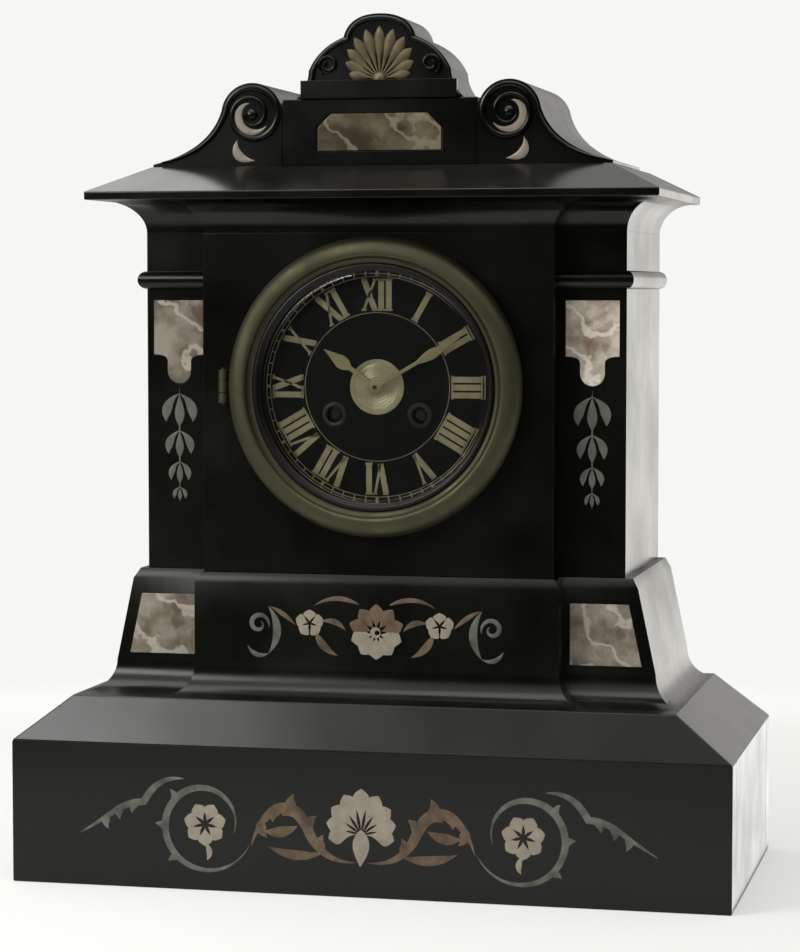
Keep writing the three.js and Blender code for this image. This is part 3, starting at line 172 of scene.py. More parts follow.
def soften(piece, width, limit=40.0, segments=2):
    """A small bevel on every edge sharper than the limit, in millimetres and degrees."""
    bevel = piece.modifiers.new("edge", "BEVEL")
    bevel.width = width * MM
    bevel.segments = segments
    bevel.limit_method = "ANGLE"
    bevel.angle_limit = np.radians(limit)
    bevel.harden_normals = True
    return piece


# %% [markdown]
# ## Curves
# Profiles and ornament share three kinds of line: an arc, a curve pulled towards a point, and a
# spiral. Each gives an array of points.

# %% Curves
def arc(centre, radius, start, end, count=24):
    """Points round a circle between two angles in degrees."""
    angle = np.radians(np.linspace(start, end, count))
    return np.stack([centre[0] + radius * np.cos(angle), centre[1] + radius * np.sin(angle)], 1)


def pulled(start, pull, end, count=16):
    """A quadratic curve: it leaves start towards pull and arrives at end from pull."""
    t = np.linspace(0, 1, count)[:, None]
    return (1 - t) ** 2 * np.array(start) + 2 * t * (1 - t) * np.array(pull) + t ** 2 * np.array(end)


def spiral(centre, outer, inner, start, turns, count=60):
    """A spiral whose radius shrinks evenly from outer to inner while the angle turns from start."""
    t = np.linspace(0, 1, count)
    angle = np.radians(start) + 2 * np.pi * turns * t
    radius = outer + (inner - outer) * t
    return np.stack([centre[0] + radius * np.cos(angle), centre[1] + radius * np.sin(angle)], 1)


def mirrored(line):
    """The same line on the other side of the clock's middle."""
    return line * np.array([-1.0, 1.0])


def kept(line):
    """The line as it is, for the side that it was drawn on."""
    return line


SIDES = [("left", -1), ("right", 1)]
BOTH_FLIPS = (mirrored, kept)
print("a quarter of a unit circle ends at", arc((0, 0), 1, 0, 90)[-1].round(6))

# %% [markdown]
# ## Four ways to make a solid
# Mouldings are lofts: one plan, larger or smaller at each height. Round work is turned. Flat
# carving is a plate cut to an outline. Cut and raised lines are bands laid along a path. Each
# function gives points and faces, so that several shapes can be joined before they are a mesh.

# %% Solids from curves
def loft(levels):
    """A closed solid through plans at rising heights: levels are (height, plan) pairs."""
    plans = np.array([np.column_stack([plan, np.full(len(plan), height)]) for height, plan in levels])
    count = plans.shape[1]
    last = (len(levels) - 1) * count
    faces = grid_faces(len(levels), count, wrap_columns=True)
    faces.append(list(range(count))[::-1])
    faces.append(list(range(last, last + count)))
    return plans.reshape(-1, 3), faces


def turned(profile, centre=(0.0, 0.0), sides=96):
    """A closed profile of (radius, depth) turned about a line along Y through the centre (x, z)."""
    profile = np.asarray(profile, float)
    angle = np.linspace(0, 2 * np.pi, sides, endpoint=False)[:, None]
    radius = profile[None, :, 0]
    points = np.stack([centre[0] + radius * np.cos(angle),
                       np.broadcast_to(profile[None, :, 1], (sides, len(profile))),
                       centre[1] + radius * np.sin(angle)], -1)
    return points.reshape(-1, 3), grid_faces(sides, len(profile), True, True)


def upright(radius, low, high, x, y, sides=32):
    """A round bar along Z, with flat ends."""
    ring = arc((x, y), radius, 0, 360, sides + 1)[:-1]
    return loft([(low, ring), (high, ring)])


def plate(outline, front, back):
    """An outline in x and z, given a thickness from the front plane to the back plane."""
    count = len(outline)
    planes = [np.column_stack([outline[:, 0], np.full(count, depth), outline[:, 1]])
              for depth in (front, back)]
    faces = grid_faces(2, count, wrap_columns=True)
    faces.append(list(range(count)))
    faces.append(list(range(count, 2 * count))[::-1])
    return np.concatenate(planes), faces


def band(path, half_width, front, rise, sink=0.3, across=7):
    """A band along a path on an upright face: its section is a low arch, sunk a little in the face."""
    along = np.gradient(path, axis=0)
    along /= np.linalg.norm(along, axis=1, keepdims=True)
    half = np.broadcast_to(half_width, len(path))[:, None]
    share = np.linspace(-1, 1, across)
    share = np.concatenate([share, [1.0, -1.0]])[None, :]
    arch = np.sqrt(np.clip(1 - share ** 2, 0, 1))
    height = np.broadcast_to(rise, len(path))[:, None] * arch
    height = np.where(np.arange(across + 2)[None, :] >= across, -sink, height)
    points = np.stack([path[:, :1] - along[:, 1:] * share * half, front - height,
                       path[:, 1:] + along[:, :1] * share * half], -1)
    faces = grid_faces(len(path), across + 2, wrap_columns=True)
    last = (len(path) - 1) * (across + 2)
    faces.append(list(range(across + 2))[::-1])
    faces.append(list(range(last, last + across + 2)))
    return points.reshape(-1, 3), faces


def taper(count, width, tip=0.12, belly=0.5):
    """Half widths along a stroke: thin at both ends, widest at the belly."""
    t = np.linspace(0, 1, count)
    bulge = np.sin(np.pi * t ** (np.log(0.5) / np.log(belly)))
    return tip + (width / 2 - tip) * np.clip(bulge, 0, 1)


# %% [markdown]
# ## Shader nodes
# A finish is a small graph of nodes. One function adds a node with its settings, its fixed
# values and its links, and another turns the hex colours of a paint chart to linear light.

# %% Colour and nodes
def colour(code):
    """An sRGB hex colour as the linear values that a shader takes."""
    srgb = np.array([int(code[i:i + 2], 16) for i in (1, 3, 5)]) / 255
    linear = np.where(srgb <= 0.04045, srgb / 12.92, ((srgb + 0.055) / 1.055) ** 2.4)
    return (*linear.tolist(), 1.0)


def per_mm(size):
    """The texture scale that makes a pattern repeat about once in so many millimetres."""
    return 1 / (size * MM)


def add_node(tree, kind, settings=None, values=None, links=None):
    """Adds a node: settings are its properties, values its own inputs, links the sockets it reads."""
    node = tree.nodes.new(kind)
    for key, value in (settings or {}).items():
        setattr(node, key, value)
    for key, value in (values or {}).items():
        node.inputs[key].default_value = value
    for key, socket in (links or {}).items():
        tree.links.new(socket, node.inputs[key])
    return node


def new_finish(name):
    """An empty material, its node tree, and the point on the object that its patterns read."""
    material = bpy.data.materials.new(name)
    material.use_nodes = True
    material.node_tree.nodes.clear()
    place = add_node(material.node_tree, "ShaderNodeTexCoord").outputs["Object"]
    return material, material.node_tree, place


def close_finish(tree, shader):
    """Sends a shader to the material's output."""
    add_node(tree, "ShaderNodeOutputMaterial", links={"Surface": shader.outputs[0]})


# A Mix node that is set to colours reads its two colours from sockets 6 and 7 and gives socket 2.
COLOUR_A, COLOUR_B, COLOUR_OUT = 6, 7, 2
print("middle grey is", round(colour("#808080")[0], 4), "in linear light")

# %% [markdown]
# ## Polished black slate
# The case is limestone so fine and black that the trade calls it slate. Polished with oil it is
# nearly a mirror, but a century of dusting leaves broad, soft patches where the shine is dull.
# The colour hardly varies, so the patches are put in the roughness and only hinted in the base.

# %% Slate
def make_slate():
    """Slate: near black, with roughness from broad clouds, and rare pale flecks from a fine grain."""
    material, tree, place = new_finish("polished_black_slate")
    cloud = add_node(tree, "ShaderNodeTexNoise",
                     values={"Scale": per_mm(60), "Detail": 5.0, "Roughness": 0.55},
                     links={"Vector": place})
    grain = add_node(tree, "ShaderNodeTexNoise",
                     values={"Scale": per_mm(2.5), "Detail": 4.0, "Roughness": 0.7},
                     links={"Vector": place})
    patch = add_node(tree, "ShaderNodeMapRange",
                     values={"From Min": 0.35, "From Max": 0.7}, links={"Value": cloud.outputs["Fac"]})
    base = add_node(tree, "ShaderNodeMix", settings={"data_type": "RGBA"},
                    values={COLOUR_A: colour("#060604"), COLOUR_B: colour("#0f0f0a")},
                    links={0: patch.outputs["Result"]})
    fleck = add_node(tree, "ShaderNodeMapRange",
                     values={"From Min": 0.66, "From Max": 0.78, "To Max": 0.5},
                     links={"Value": grain.outputs["Fac"]})
    flecked = add_node(tree, "ShaderNodeMix", settings={"data_type": "RGBA"},
                       values={COLOUR_B: colour("#2c2a26")},
                       links={0: fleck.outputs["Result"], COLOUR_A: base.outputs[COLOUR_OUT]})
    shine = add_node(tree, "ShaderNodeMapRange",
                     values={"From Min": 0.3, "From Max": 0.75, "To Min": 0.16, "To Max": 0.31},
                     links={"Value": cloud.outputs["Fac"]})
    relief = add_node(tree, "ShaderNodeBump", values={"Strength": 0.08, "Distance": 0.05 * MM},
                      links={"Height": grain.outputs["Fac"]})
    shader = add_node(tree, "ShaderNodeBsdfPrincipled", values={"IOR": 1.37},
                      links={"Base Color": flecked.outputs[COLOUR_OUT],
                             "Roughness": shine.outputs["Result"], "Normal": relief.outputs["Normal"]})
    close_finish(tree, shader)
    return material


slate = make_slate()
print("slate ready")

# %% [markdown]
# ## Veined marble
# The inlays are a warm grey-beige marble with rust-brown clouds. Veins come from a wave that a
# noise has bent, which is how veins look in a sawn block: long, broken and never parallel. One
# recipe is mixed three times: pale, greyed, and brown for the tablet; on the left shield the greyed
# mix is painted shade, darker than the pale right shield.

# %% Marble
def make_marble(name, shade, light, cloud_tint, vein_tint):
    """A marble whose ground runs from shade to light, with tinted clouds and thin veins."""
    material, tree, place = new_finish(name)
    bend = add_node(tree, "ShaderNodeTexNoise",
                    values={"Scale": per_mm(16), "Detail": 6.0, "Roughness": 0.6},
                    links={"Vector": place})
    cloud = add_node(tree, "ShaderNodeTexNoise",
                     values={"Scale": per_mm(24), "Detail": 5.0, "Roughness": 0.65, "Distortion": 0.6},
                     links={"Vector": place})
    vein = add_node(tree, "ShaderNodeTexWave", settings={"bands_direction": "DIAGONAL"},
                    values={"Scale": per_mm(60), "Distortion": 14.0, "Detail": 4.0,
                            "Detail Scale": 1.6}, links={"Vector": place})
    ground = add_node(tree, "ShaderNodeMapRange",
                      values={"From Min": 0.38, "From Max": 0.62}, links={"Value": bend.outputs["Fac"]})
    pale = add_node(tree, "ShaderNodeMix", settings={"data_type": "RGBA"},
                    values={COLOUR_A: colour(shade), COLOUR_B: colour(light)},
                    links={0: ground.outputs["Result"]})
    rust = add_node(tree, "ShaderNodeMapRange",
                    values={"From Min": 0.52, "From Max": 0.68, "To Max": 0.8},
                    links={"Value": cloud.outputs["Fac"]})
    warm = add_node(tree, "ShaderNodeMix", settings={"data_type": "RGBA"},
                    values={COLOUR_B: colour(cloud_tint)},
                    links={0: rust.outputs["Result"], COLOUR_A: pale.outputs[COLOUR_OUT]})
    thin = add_node(tree, "ShaderNodeMapRange",
                    values={"From Min": 0.9, "From Max": 0.99, "To Max": 0.7},
                    links={"Value": vein.outputs["Fac"]})
    veined = add_node(tree, "ShaderNodeMix", settings={"data_type": "RGBA"},
                      values={COLOUR_B: colour(vein_tint)},
                      links={0: thin.outputs["Result"], COLOUR_A: warm.outputs[COLOUR_OUT]})
    shine = add_node(tree, "ShaderNodeMapRange",
                     values={"To Min": 0.16, "To Max": 0.3}, links={"Value": cloud.outputs["Fac"]})
    shader = add_node(tree, "ShaderNodeBsdfPrincipled", values={"IOR": 1.5},
                      links={"Base Color": veined.outputs[COLOUR_OUT],
                             "Roughness": shine.outputs["Result"]})
    close_finish(tree, shader)
    return material


marble = make_marble("veined_marble", "#8d8070", "#cdc3b3", "#6f4e3c", "#e8e0d3")
# Greyed: the tone of both squares, and painted shade on the left shield.
grey_and_shaded_marble = make_marble("greyed_and_shaded_marble", "#61584b", "#90877b", "#523b2d", "#b4ab9d")
dark_marble = make_marble("brown_marble", "#3d3325", "#655b48", "#33251a", "#857a68")
print("marble ready")

# %% [markdown]
# ## Brass, gilding and steel
# Cast and turned brass under old lacquer goes dull and a little green. Gold in the cut lines is
# thin leaf on size: it is worn from the high places and browned by polish, so most of it is only
# a little metallic. All share one recipe, with their own colours, tarnish and roughness. The real
# scratches are too fine to see from here, so they are drawn about a millimetre apart.

# %% Metals
def make_metal(name, bright, tarnished, rough, patch_size, amount=0.6, metallic=1.0):
    """A metal with clouds of tarnish of a given size, and fine scratches in its roughness."""
    material, tree, place = new_finish(name)
    cloud = add_node(tree, "ShaderNodeTexNoise",
                     values={"Scale": per_mm(patch_size), "Detail": 6.0, "Roughness": 0.65},
                     links={"Vector": place})
    fine = add_node(tree, "ShaderNodeTexNoise",
                    values={"Scale": per_mm(0.8), "Detail": 3.0}, links={"Vector": place})
    share = add_node(tree, "ShaderNodeMapRange",
                     values={"From Min": 0.35, "From Max": 0.65, "To Max": amount},
                     links={"Value": cloud.outputs["Fac"]})
    base = add_node(tree, "ShaderNodeMix", settings={"data_type": "RGBA"},
                    values={COLOUR_A: colour(bright), COLOUR_B: colour(tarnished)},
                    links={0: share.outputs["Result"]})
    shine = add_node(tree, "ShaderNodeMapRange",
                     values={"From Min": 0.3, "From Max": 0.7,
                             "To Min": rough * 0.8, "To Max": rough * 1.3},
                     links={"Value": cloud.outputs["Fac"]})
    relief = add_node(tree, "ShaderNodeBump", values={"Strength": 0.15, "Distance": 0.03 * MM},
                      links={"Height": fine.outputs["Fac"]})
    shader = add_node(tree, "ShaderNodeBsdfPrincipled", values={"Metallic": metallic},
                      links={"Base Color": base.outputs[COLOUR_OUT],
                             "Roughness": shine.outputs["Result"], "Normal": relief.outputs["Normal"]})
    close_finish(tree, shader)
    return material


# Old lacquer on cast brass is dull and greenish, with a broad soft sheen.
case_brass = make_metal("lacquered_brass", "#575543", "#3e3d30", 0.54, 30, amount=0.5)
# Inside the case, polished plates, wheels and bell stay bright and golden.
movement_brass = make_metal("polished_brass", "#c9a860", "#9a7c42", 0.24, 22)
bell_metal = make_metal("bell_bronze", "#bfa877", "#8a744a", 0.2, 26)
# Arbors and levers are polished steel: grey, hard and clear in their shine.
steel = make_metal("polished_steel", "#8b8d90", "#55575c", 0.22, 14)
# Hands and dial centre are gilt brass, a little browned and quite matt under the glass.
hand_brass = make_metal("browned_brass", "#c2b088", "#94825e", 0.42, 9, metallic=0.4)
dial_gilt = make_metal("dial_gilding", "#cfbf9d", "#a08f6c", 0.42, 7, metallic=0.4)
# Leaf in the cut lines: nearly whole on the flowers, worn to brown and grey on the stems.
gold_leaf = make_metal("gold_leaf", "#968d7e", "#6f665a", 0.45, 8, metallic=0.2)
worn_gold = make_metal("worn_gold_leaf", "#6c5944", "#35291e", 0.5, 9, amount=0.85, metallic=0.2)
rubbed_gold = make_metal("rubbed_gold_leaf", "#6b6d62", "#34352e", 0.5, 11, amount=0.9, metallic=0.2)
grey_gold = make_metal("greyed_gold_leaf", "#66655b", "#403f38", 0.5, 9, amount=0.7, metallic=0.2)
olive_gold = make_metal("browned_gold_leaf", "#6a5d40", "#3b3420", 0.5, 9, amount=0.8, metallic=0.2)
print("metals ready")

# %% [markdown]
# ## Dial black and glass
# The chapter ring is black, oiled slate under a bevelled glass. Dust in its pores makes it
# duller than the case. Glass needs hardly any colour: its look is the reflection, and a faint
# green where the bevel is deep.

# %% Dial and glass
def make_dial_black():
    """Dial slate: warm black whose tone and roughness both follow one fine cloud of dust."""
    material, tree, place = new_finish("matt_black_dial")
    dust = add_node(tree, "ShaderNodeTexNoise",
                    values={"Scale": per_mm(12), "Detail": 6.0, "Roughness": 0.7},
                    links={"Vector": place})
    base = add_node(tree, "ShaderNodeMix", settings={"data_type": "RGBA"},
                    values={COLOUR_A: colour("#050302"), COLOUR_B: colour("#110d07")},
                    links={0: dust.outputs["Fac"]})
    shine = add_node(tree, "ShaderNodeMapRange",
                     values={"To Min": 0.3, "To Max": 0.5}, links={"Value": dust.outputs["Fac"]})
    shader = add_node(tree, "ShaderNodeBsdfPrincipled", values={"IOR": 1.36},
                      links={"Base Color": base.outputs[COLOUR_OUT],
                             "Roughness": shine.outputs["Result"]})
    close_finish(tree, shader)
    return material


def make_glass():
    """Clear glass that a slow ripple bends a little, as old sheet glass does."""
    material, tree, place = new_finish("bevelled_glass")
    ripple = add_node(tree, "ShaderNodeTexNoise", values={"Scale": per_mm(35)}, links={"Vector": place})
    relief = add_node(tree, "ShaderNodeBump", values={"Strength": 0.05, "Distance": 0.1 * MM},
                      links={"Height": ripple.outputs["Fac"]})
    shader = add_node(tree, "ShaderNodeBsdfPrincipled",
                      values={"Base Color": colour("#f4faf7"), "Roughness": 0.02, "IOR": 1.5,
                              "Transmission Weight": 1.0},
                      links={"Normal": relief.outputs["Normal"]})
    close_finish(tree, shader)
    return material


dial_black = make_dial_black()
glass = make_glass()
print("dial and glass ready")

# %% [markdown]
# ## Sawn slabs and inlays that stay
# Plinth, wings, panels and the marble shields are flat work that the frame already holds. Their
# triangles are joined by a weld, and a bevel of under a millimetre gives each arris the line of
# light that a mason's rubbing block leaves.

# %% Slabs
SLAB_EDGE = 0.7
INLAY_EDGE = 0.25
WELD_WITHIN = 1e-6


def dress(node, material, edge, limit=40.0):
    """Gives a node of the frame its finish, and a welded, bevelled edge."""
    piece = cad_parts[node]
    piece.material_slots[0].material = material
    weld = piece.modifiers.new("weld", "WELD")
    weld.merge_threshold = WELD_WITHIN
    return soften(piece, edge, limit)


slabs = ["plinth_front", "plinth_back", "plinth_left", "plinth_right", "plinth_cap", "wing_left",
         "wing_right", "front_panel", "back_panel", "cornice_slab", "pediment_block"]
for name in slabs:
    dress(name, slate, SLAB_EDGE)
# The left shield takes the greyed mix as painted shade, darker than the pale right shield.
dress("wing_marble_left", grey_and_shaded_marble, INLAY_EDGE)
dress("wing_marble_right", marble, INLAY_EDGE)
dress("pediment_tablet", dark_marble, INLAY_EDGE)
print(len(slabs), "slabs and 3 inlays dressed")

# %% [markdown]
# ## Mouldings
# The pedestal's hollow foot, the bead over each wing and the hollow under the cornice run round
# the stepped plan of the body. A loft of that plan, grown sideways by the profile at each
# height, cuts every mitre by itself. The plan and the quarter hollow come first.

# %% Stepped plans
FOOT_RISE, FOOT_SIDE, FOOT_FRONT = 15.0, 13.0, 14.0
FRONT_PROUD, SIDE_PROUD, BATTER = 4.0, 7.0, 9.0
BEVEL_RISE, BEVEL_RUN = 5.0, 3.0
FACE_TOP, FACE_FOOT = BODY_Z - BEVEL_RISE, PEDESTAL_Z + FOOT_RISE
COVE_RUN = 18.0
HOLLOW_STEPS = 14
MOULDING_EDGE, MOULDING_LIMIT = 0.5, 60.0


def stepped_plan(side, front, cut):
    """The body's plan with its forward centre, grown by side and front and cut off at a depth."""
    wing, centre = HALF_BODY + side, HALF_CENTRE + front
    near, far = WING_FRONT - front, CENTRE_FRONT - front
    return np.array([[-wing, cut], [-wing, near], [-centre, near], [-centre, far],
                     [centre, far], [centre, near], [wing, near], [wing, cut]])


def side_plan(side, sign):
    """The plan of a pedestal side piece, behind the front piece."""
    outer, inner = sign * (HALF_BODY + side), sign * HALF_CENTRE
    return np.array([[inner, PANEL_BACK], [outer, PANEL_BACK], [outer, BODY_BACK], [inner, BODY_BACK]])


def hollow(steps):
    """A quarter hollow as (share out, share along): it leaves the upright face and ends level."""
    angle = np.linspace(0, np.pi / 2, steps + 1)
    return list(zip(1 - np.cos(angle), np.sin(angle)))


print("a hollow has", len(hollow(HOLLOW_STEPS)), "steps")

# %% [markdown]
# ## Pedestal
# From the bottom up it is a quarter hollow, a battered face and a narrow bevel. On the real clock
# it is built of slabs round a hollow box, so the front and the two sides stay three pieces.

# %% Pedestal
foot = [(PEDESTAL_Z + FOOT_RISE * (1 - along), out) for out, along in hollow(HOLLOW_STEPS)[::-1]]


def pedestal_levels(plan):
    """Heights and plans of a pedestal piece; plan takes what it grows by at the side and in front."""
    levels = [(z, plan(SIDE_PROUD + BATTER + FOOT_SIDE * out, FRONT_PROUD + FOOT_FRONT * out))
              for z, out in foot]
    levels.append((FACE_TOP, plan(SIDE_PROUD, FRONT_PROUD)))
    return levels + [(BODY_Z, plan(SIDE_PROUD - BEVEL_RUN, FRONT_PROUD - BEVEL_RUN))]


front_piece = loft(pedestal_levels(lambda side, front: stepped_plan(side, front, PANEL_BACK)))
soften(make_piece("pedestal_moulding_front", front_piece, slate, stands_for=["pedestal_front"]),
       MOULDING_EDGE, MOULDING_LIMIT)
for name, sign in SIDES:
    side_piece = loft(pedestal_levels(lambda side, front: side_plan(side, sign)))
    piece = make_piece(f"pedestal_moulding_{name}", side_piece, slate, stands_for=[f"pedestal_{name}"])
    soften(piece, MOULDING_EDGE, MOULDING_LIMIT)
print("pedestal: 3 pieces,", len(foot) + 2, "levels")

# %% [markdown]
# ## Capitals
# A half-round bead with a plain block above it ends each wing. The bead is the same loft again:
# its height follows the cosine of a half turn and its growth the sine, which draws a half circle.

# %% Capitals
BEAD_RISE, BEAD_PROUD, BEAD_EDGE = 9.0, 4.0, 0.4


def block_plan(out, sign):
    """The plan of a capital: its outer side and front grow by out, its inner side and back stay."""
    outer, inner = sign * (HALF_BODY + out), sign * HALF_CENTRE
    return np.array([[inner, WING_FRONT - out], [outer, WING_FRONT - out],
                     [outer, BODY_BACK], [inner, BODY_BACK]])


for name, sign in SIDES:
    levels = [(CAPITAL_Z + BEAD_RISE * (1 - np.cos(angle)) / 2,
               block_plan(BEAD_PROUD * np.sin(angle), sign)) for angle in np.linspace(0, np.pi, 17)]
    levels.append((COVE_Z, block_plan(0.0, sign)))
    piece = make_piece(f"capital_bead_{name}", loft(levels), slate, stands_for=[f"capital_{name}"])
    soften(piece, BEAD_EDGE, MOULDING_LIMIT)
print("capitals: 2")

# %% [markdown]
# ## Hollow under the cornice
# The hollow carries the wide cornice on the narrow body. It starts upright on the body and ends
# level under the slab, so it catches one long soft streak of light.

# %% Hollow under the cornice
cove = [(COVE_Z + (CORNICE_Z - COVE_Z) * along, stepped_plan(COVE_RUN * out, COVE_RUN * out, BODY_BACK))
        for out, along in hollow(HOLLOW_STEPS)]
soften(make_piece("cornice_hollow", loft(cove), slate, stands_for=["cornice_cove"]),
       MOULDING_EDGE, MOULDING_LIMIT)
print("cornice hollow:", len(cove), "levels")

# %% [markdown]
# ## Marble squares
# Two nearly square slips of marble sit in the wings of the pedestal. The outer edge of each leans
# with the pedestal's side. A slip has a rounded arris and stands a hair proud of the slate, as old
# inlays do when the stone round them has been polished.

# %% Squares
TILE_PROUD = 0.25
for name, sign in SIDES:
    low, high = corners(f"pedestal_marble_{name}")
    inner, outer = sorted([abs(low[0]), abs(high[0])])
    lean = BATTER * (high[2] - low[2]) / (FACE_TOP - FACE_FOOT)
    outline = np.array([[sign * inner, low[2]], [sign * outer, low[2]],
                        [sign * (outer - lean), high[2]], [sign * inner, high[2]]])
    tile = plate(outline, WING_FRONT - FRONT_PROUD - TILE_PROUD, high[1])
    piece = make_piece(f"marble_square_{name}", tile, grey_and_shaded_marble,
                       stands_for=[f"pedestal_marble_{name}"])
    soften(piece, INLAY_EDGE)
print("marble squares: 2")

# %% [markdown]
# ## Pediment scrolls
# A scroll is a plate with a round head and a long hollow tail. Along its edge the carver raised a
# moulding that runs up the tail, over the head and winds into the eye. The tail is a pulled curve
# that meets the head's circle at a known angle, and the winding part is a spiral. Gold fills a
# crescent between the turns and a leaf below the head; both are gilding, laid wide and pale as a
# painted highlight for the pale streak of light on each head.

# %% Scrolls
SCROLL_RUN, SCROLL_RISE = 68.0, 42.0
HEAD_RADIUS, HEAD_JOIN = 16.0, 8.6
TAIL_END = 1.5
RIB_INSET, RIB_RISE = 2.4, 1.7
CUT_RISE = 0.3
PEDIMENT_FRONT, PEDIMENT_BACK = block_low[1], block_high[1]
HALF_BLOCK = block_high[0]
head = (HALF_BLOCK + HEAD_RADIUS, ROOF_Z + SCROLL_RISE - HEAD_RADIUS)
tail_pull = (HALF_BLOCK + 38.0, ROOF_Z + 8.4)


def scroll_line(inset):
    """The scroll's upper line from the tail's end to the inner side, moved in by an inset."""
    over = arc(head, HEAD_RADIUS - inset, HEAD_JOIN, 180, 40)
    start = (HALF_BLOCK + SCROLL_RUN - inset * 2, ROOF_Z + TAIL_END + inset * 0.4)
    pull = (tail_pull[0] - inset * 0.7, tail_pull[1] - inset * 0.4)
    return np.concatenate([pulled(start, pull, over[0], 30)[:-1], over])


feet = np.array([[HALF_BLOCK, ROOF_Z], [HALF_BLOCK + SCROLL_RUN, ROOF_Z]])
scroll_outline = np.concatenate([scroll_line(0.0), feet])
wind = spiral(head, HEAD_RADIUS - RIB_INSET, 3.6, 180, 1.5, 90)
rib_path = np.concatenate([scroll_line(RIB_INSET), wind[1:]])
rib_width = np.interp(np.linspace(0, 1, len(rib_path)), [0, 0.2, 0.5, 1], [0.5, 1.6, 1.7, 0.8])
groove = spiral(head, HEAD_RADIUS - 6.4, 5.8, 215, 0.62, 70)
leaf = pulled((head[0] - 1.5, ROOF_Z + 3), (head[0] + 11, ROOF_Z + 3.5),
              (head[0] + 7.5, ROOF_Z + 13.5), 30)
button_profile = np.array([[0, -2.4], [1.4, -2.2], [2.6, -1.2], [2.9, 0], [2.9, 1], [0, 1]])

for (name, sign), flip in zip(SIDES, BOTH_FLIPS):
    body_shape = plate(flip(scroll_outline), PEDIMENT_FRONT, PEDIMENT_BACK)
    rib = band(flip(rib_path), rib_width, PEDIMENT_FRONT, RIB_RISE)
    button = turned(button_profile + [0, PEDIMENT_FRONT], (sign * head[0], head[1]), 32)
    piece = make_piece(f"scroll_{name}", together(body_shape, rib, button), slate,
                       stands_for=[f"pediment_scroll_{name}"])
    soften(piece, MOULDING_EDGE, MOULDING_LIMIT)
    # The crescent and the leaf are real gilding, widened and paled into a painted highlight.
    cut = [band(flip(groove), taper(70, 4.4), PEDIMENT_FRONT, CUT_RISE),
           band(flip(leaf), taper(30, 4.6), PEDIMENT_FRONT, CUT_RISE)]
    make_piece(f"scroll_gilding_and_highlight_{name}", together(*cut), gold_leaf)
print("scrolls: 2, heads at", head)

# %% [markdown]
# ## Crest
# The crest is a low shell: a stepped dome on a plain band, with a fan of petals rising from the
# band between two curls. Half of its outline is three pulled curves, from the foot to the waist,
# the neck and the top, and the other half is its mirror image.

# %% Crest
HALF_CREST, CREST_BACK, CREST_TOP = corners("pediment_crest")[1]
CREST_FACE = PEDIMENT_FRONT + 1.0
CREST_BAND = 9.0
WAIST, SHOULDER, NECK = (36.5, 14.0), (31.5, 25.5), (18.5, 30.5)
CROWN_HALF = 15.5


def crest_half(inset):
    """Right half of the crest's outline from its foot to its top, moved in by an inset."""
    foot_point = (HALF_CREST - inset, CREST_Z + inset * 0.3)
    waist = (WAIST[0] - inset, CREST_Z + WAIST[1])
    neck = (NECK[0] - inset, CREST_Z + NECK[1] - inset * 0.5)
    flare = pulled(foot_point, (waist[0], CREST_Z + WAIST[1] / 2), waist, 12)
    shoulder = pulled(waist, (SHOULDER[0] - inset, CREST_Z + SHOULDER[1]), neck, 14)
    crown = pulled(neck, (CROWN_HALF - inset * 0.5, CREST_TOP - inset), (0.0, CREST_TOP - inset), 16)
    return np.concatenate([flare, shoulder[1:], crown[1:]])


def crest_line(inset):
    """The crest's whole upper line, from right foot to left foot."""
    right = crest_half(inset)
    return np.concatenate([right, mirrored(right)[::-1][1:]])


crest_plate = plate(crest_line(0.0), CREST_FACE, CREST_BACK)
rim_path = crest_line(2.2)
rim = band(rim_path, 1.3, CREST_FACE, 1.6)
band_half = HALF_CREST - 3
crest_band = plate(np.array([[-band_half, CREST_Z], [band_half, CREST_Z],
                             [band_half, CREST_Z + CREST_BAND], [-band_half, CREST_Z + CREST_BAND]]),
                   CREST_FACE - 3, CREST_FACE + 1)
curl = spiral((26.3, CREST_Z + 16.8), 5.2, 1.5, -60, 1.35, 60)
curls = [band(flip(curl), taper(60, 2.3, 0.5), CREST_FACE, 1.8) for flip in BOTH_FLIPS]
soften(make_piece("crest_shell", together(crest_plate, rim, crest_band, *curls), slate,
                  stands_for=["pediment_crest"]), MOULDING_EDGE, MOULDING_LIMIT)
print("crest:", len(crest_line(0.0)), "points on its outline")

# %% [markdown]
# ## Fan
# The petals are bands laid along rays and wide near the tip. The outer ones are shorter, by the
# cosine of a share of their lean, so the tips keep inside the dome. Browned gold covers them.

# %% Fan
FAN_PETALS, FAN_LEAN, FAN_LENGTH = 11, 80.0, 26.0
fan_root = np.array([0.0, CREST_Z + CREST_BAND + 0.5])
petals = []
for i in range(FAN_PETALS):
    lean = np.radians(np.linspace(-FAN_LEAN, FAN_LEAN, FAN_PETALS)[i])
    length = FAN_LENGTH * np.cos(lean * 0.66)
    ray = np.array([np.sin(lean), np.cos(lean)])
    path = fan_root + ray * np.linspace(3.0, length, 24)[:, None]
    petals.append(band(path, taper(24, 5.4, 0.3, 0.72), CREST_FACE, taper(24, 2.4, 0.1, 0.7), across=9))
hub = turned([[0, CREST_FACE - 2.2], [2.0, CREST_FACE - 1.8], [3.2, CREST_FACE - 0.6],
              [3.4, CREST_FACE + 0.5], [0, CREST_FACE + 0.5]], tuple(fan_root), 28)
make_piece("crest_fan", together(*petals, hub), olive_gold)
print("fan:", FAN_PETALS, "petals")

# %% [markdown]
# ## Cut and gilded ornament
# The gilder filled shallow cut lines with leaf: a palmette with running scrolls on the plinth, a
# rosette with buds on the pedestal, and a chain of bellflowers on each wing. Every line is a
# tapering band whose fill stands a hair proud, so that it catches the light. A drawing is a list
# of lines, each with its width and the share of its length at which it is widest.

# %% Ornament strokes
LINE_RISE = 0.14


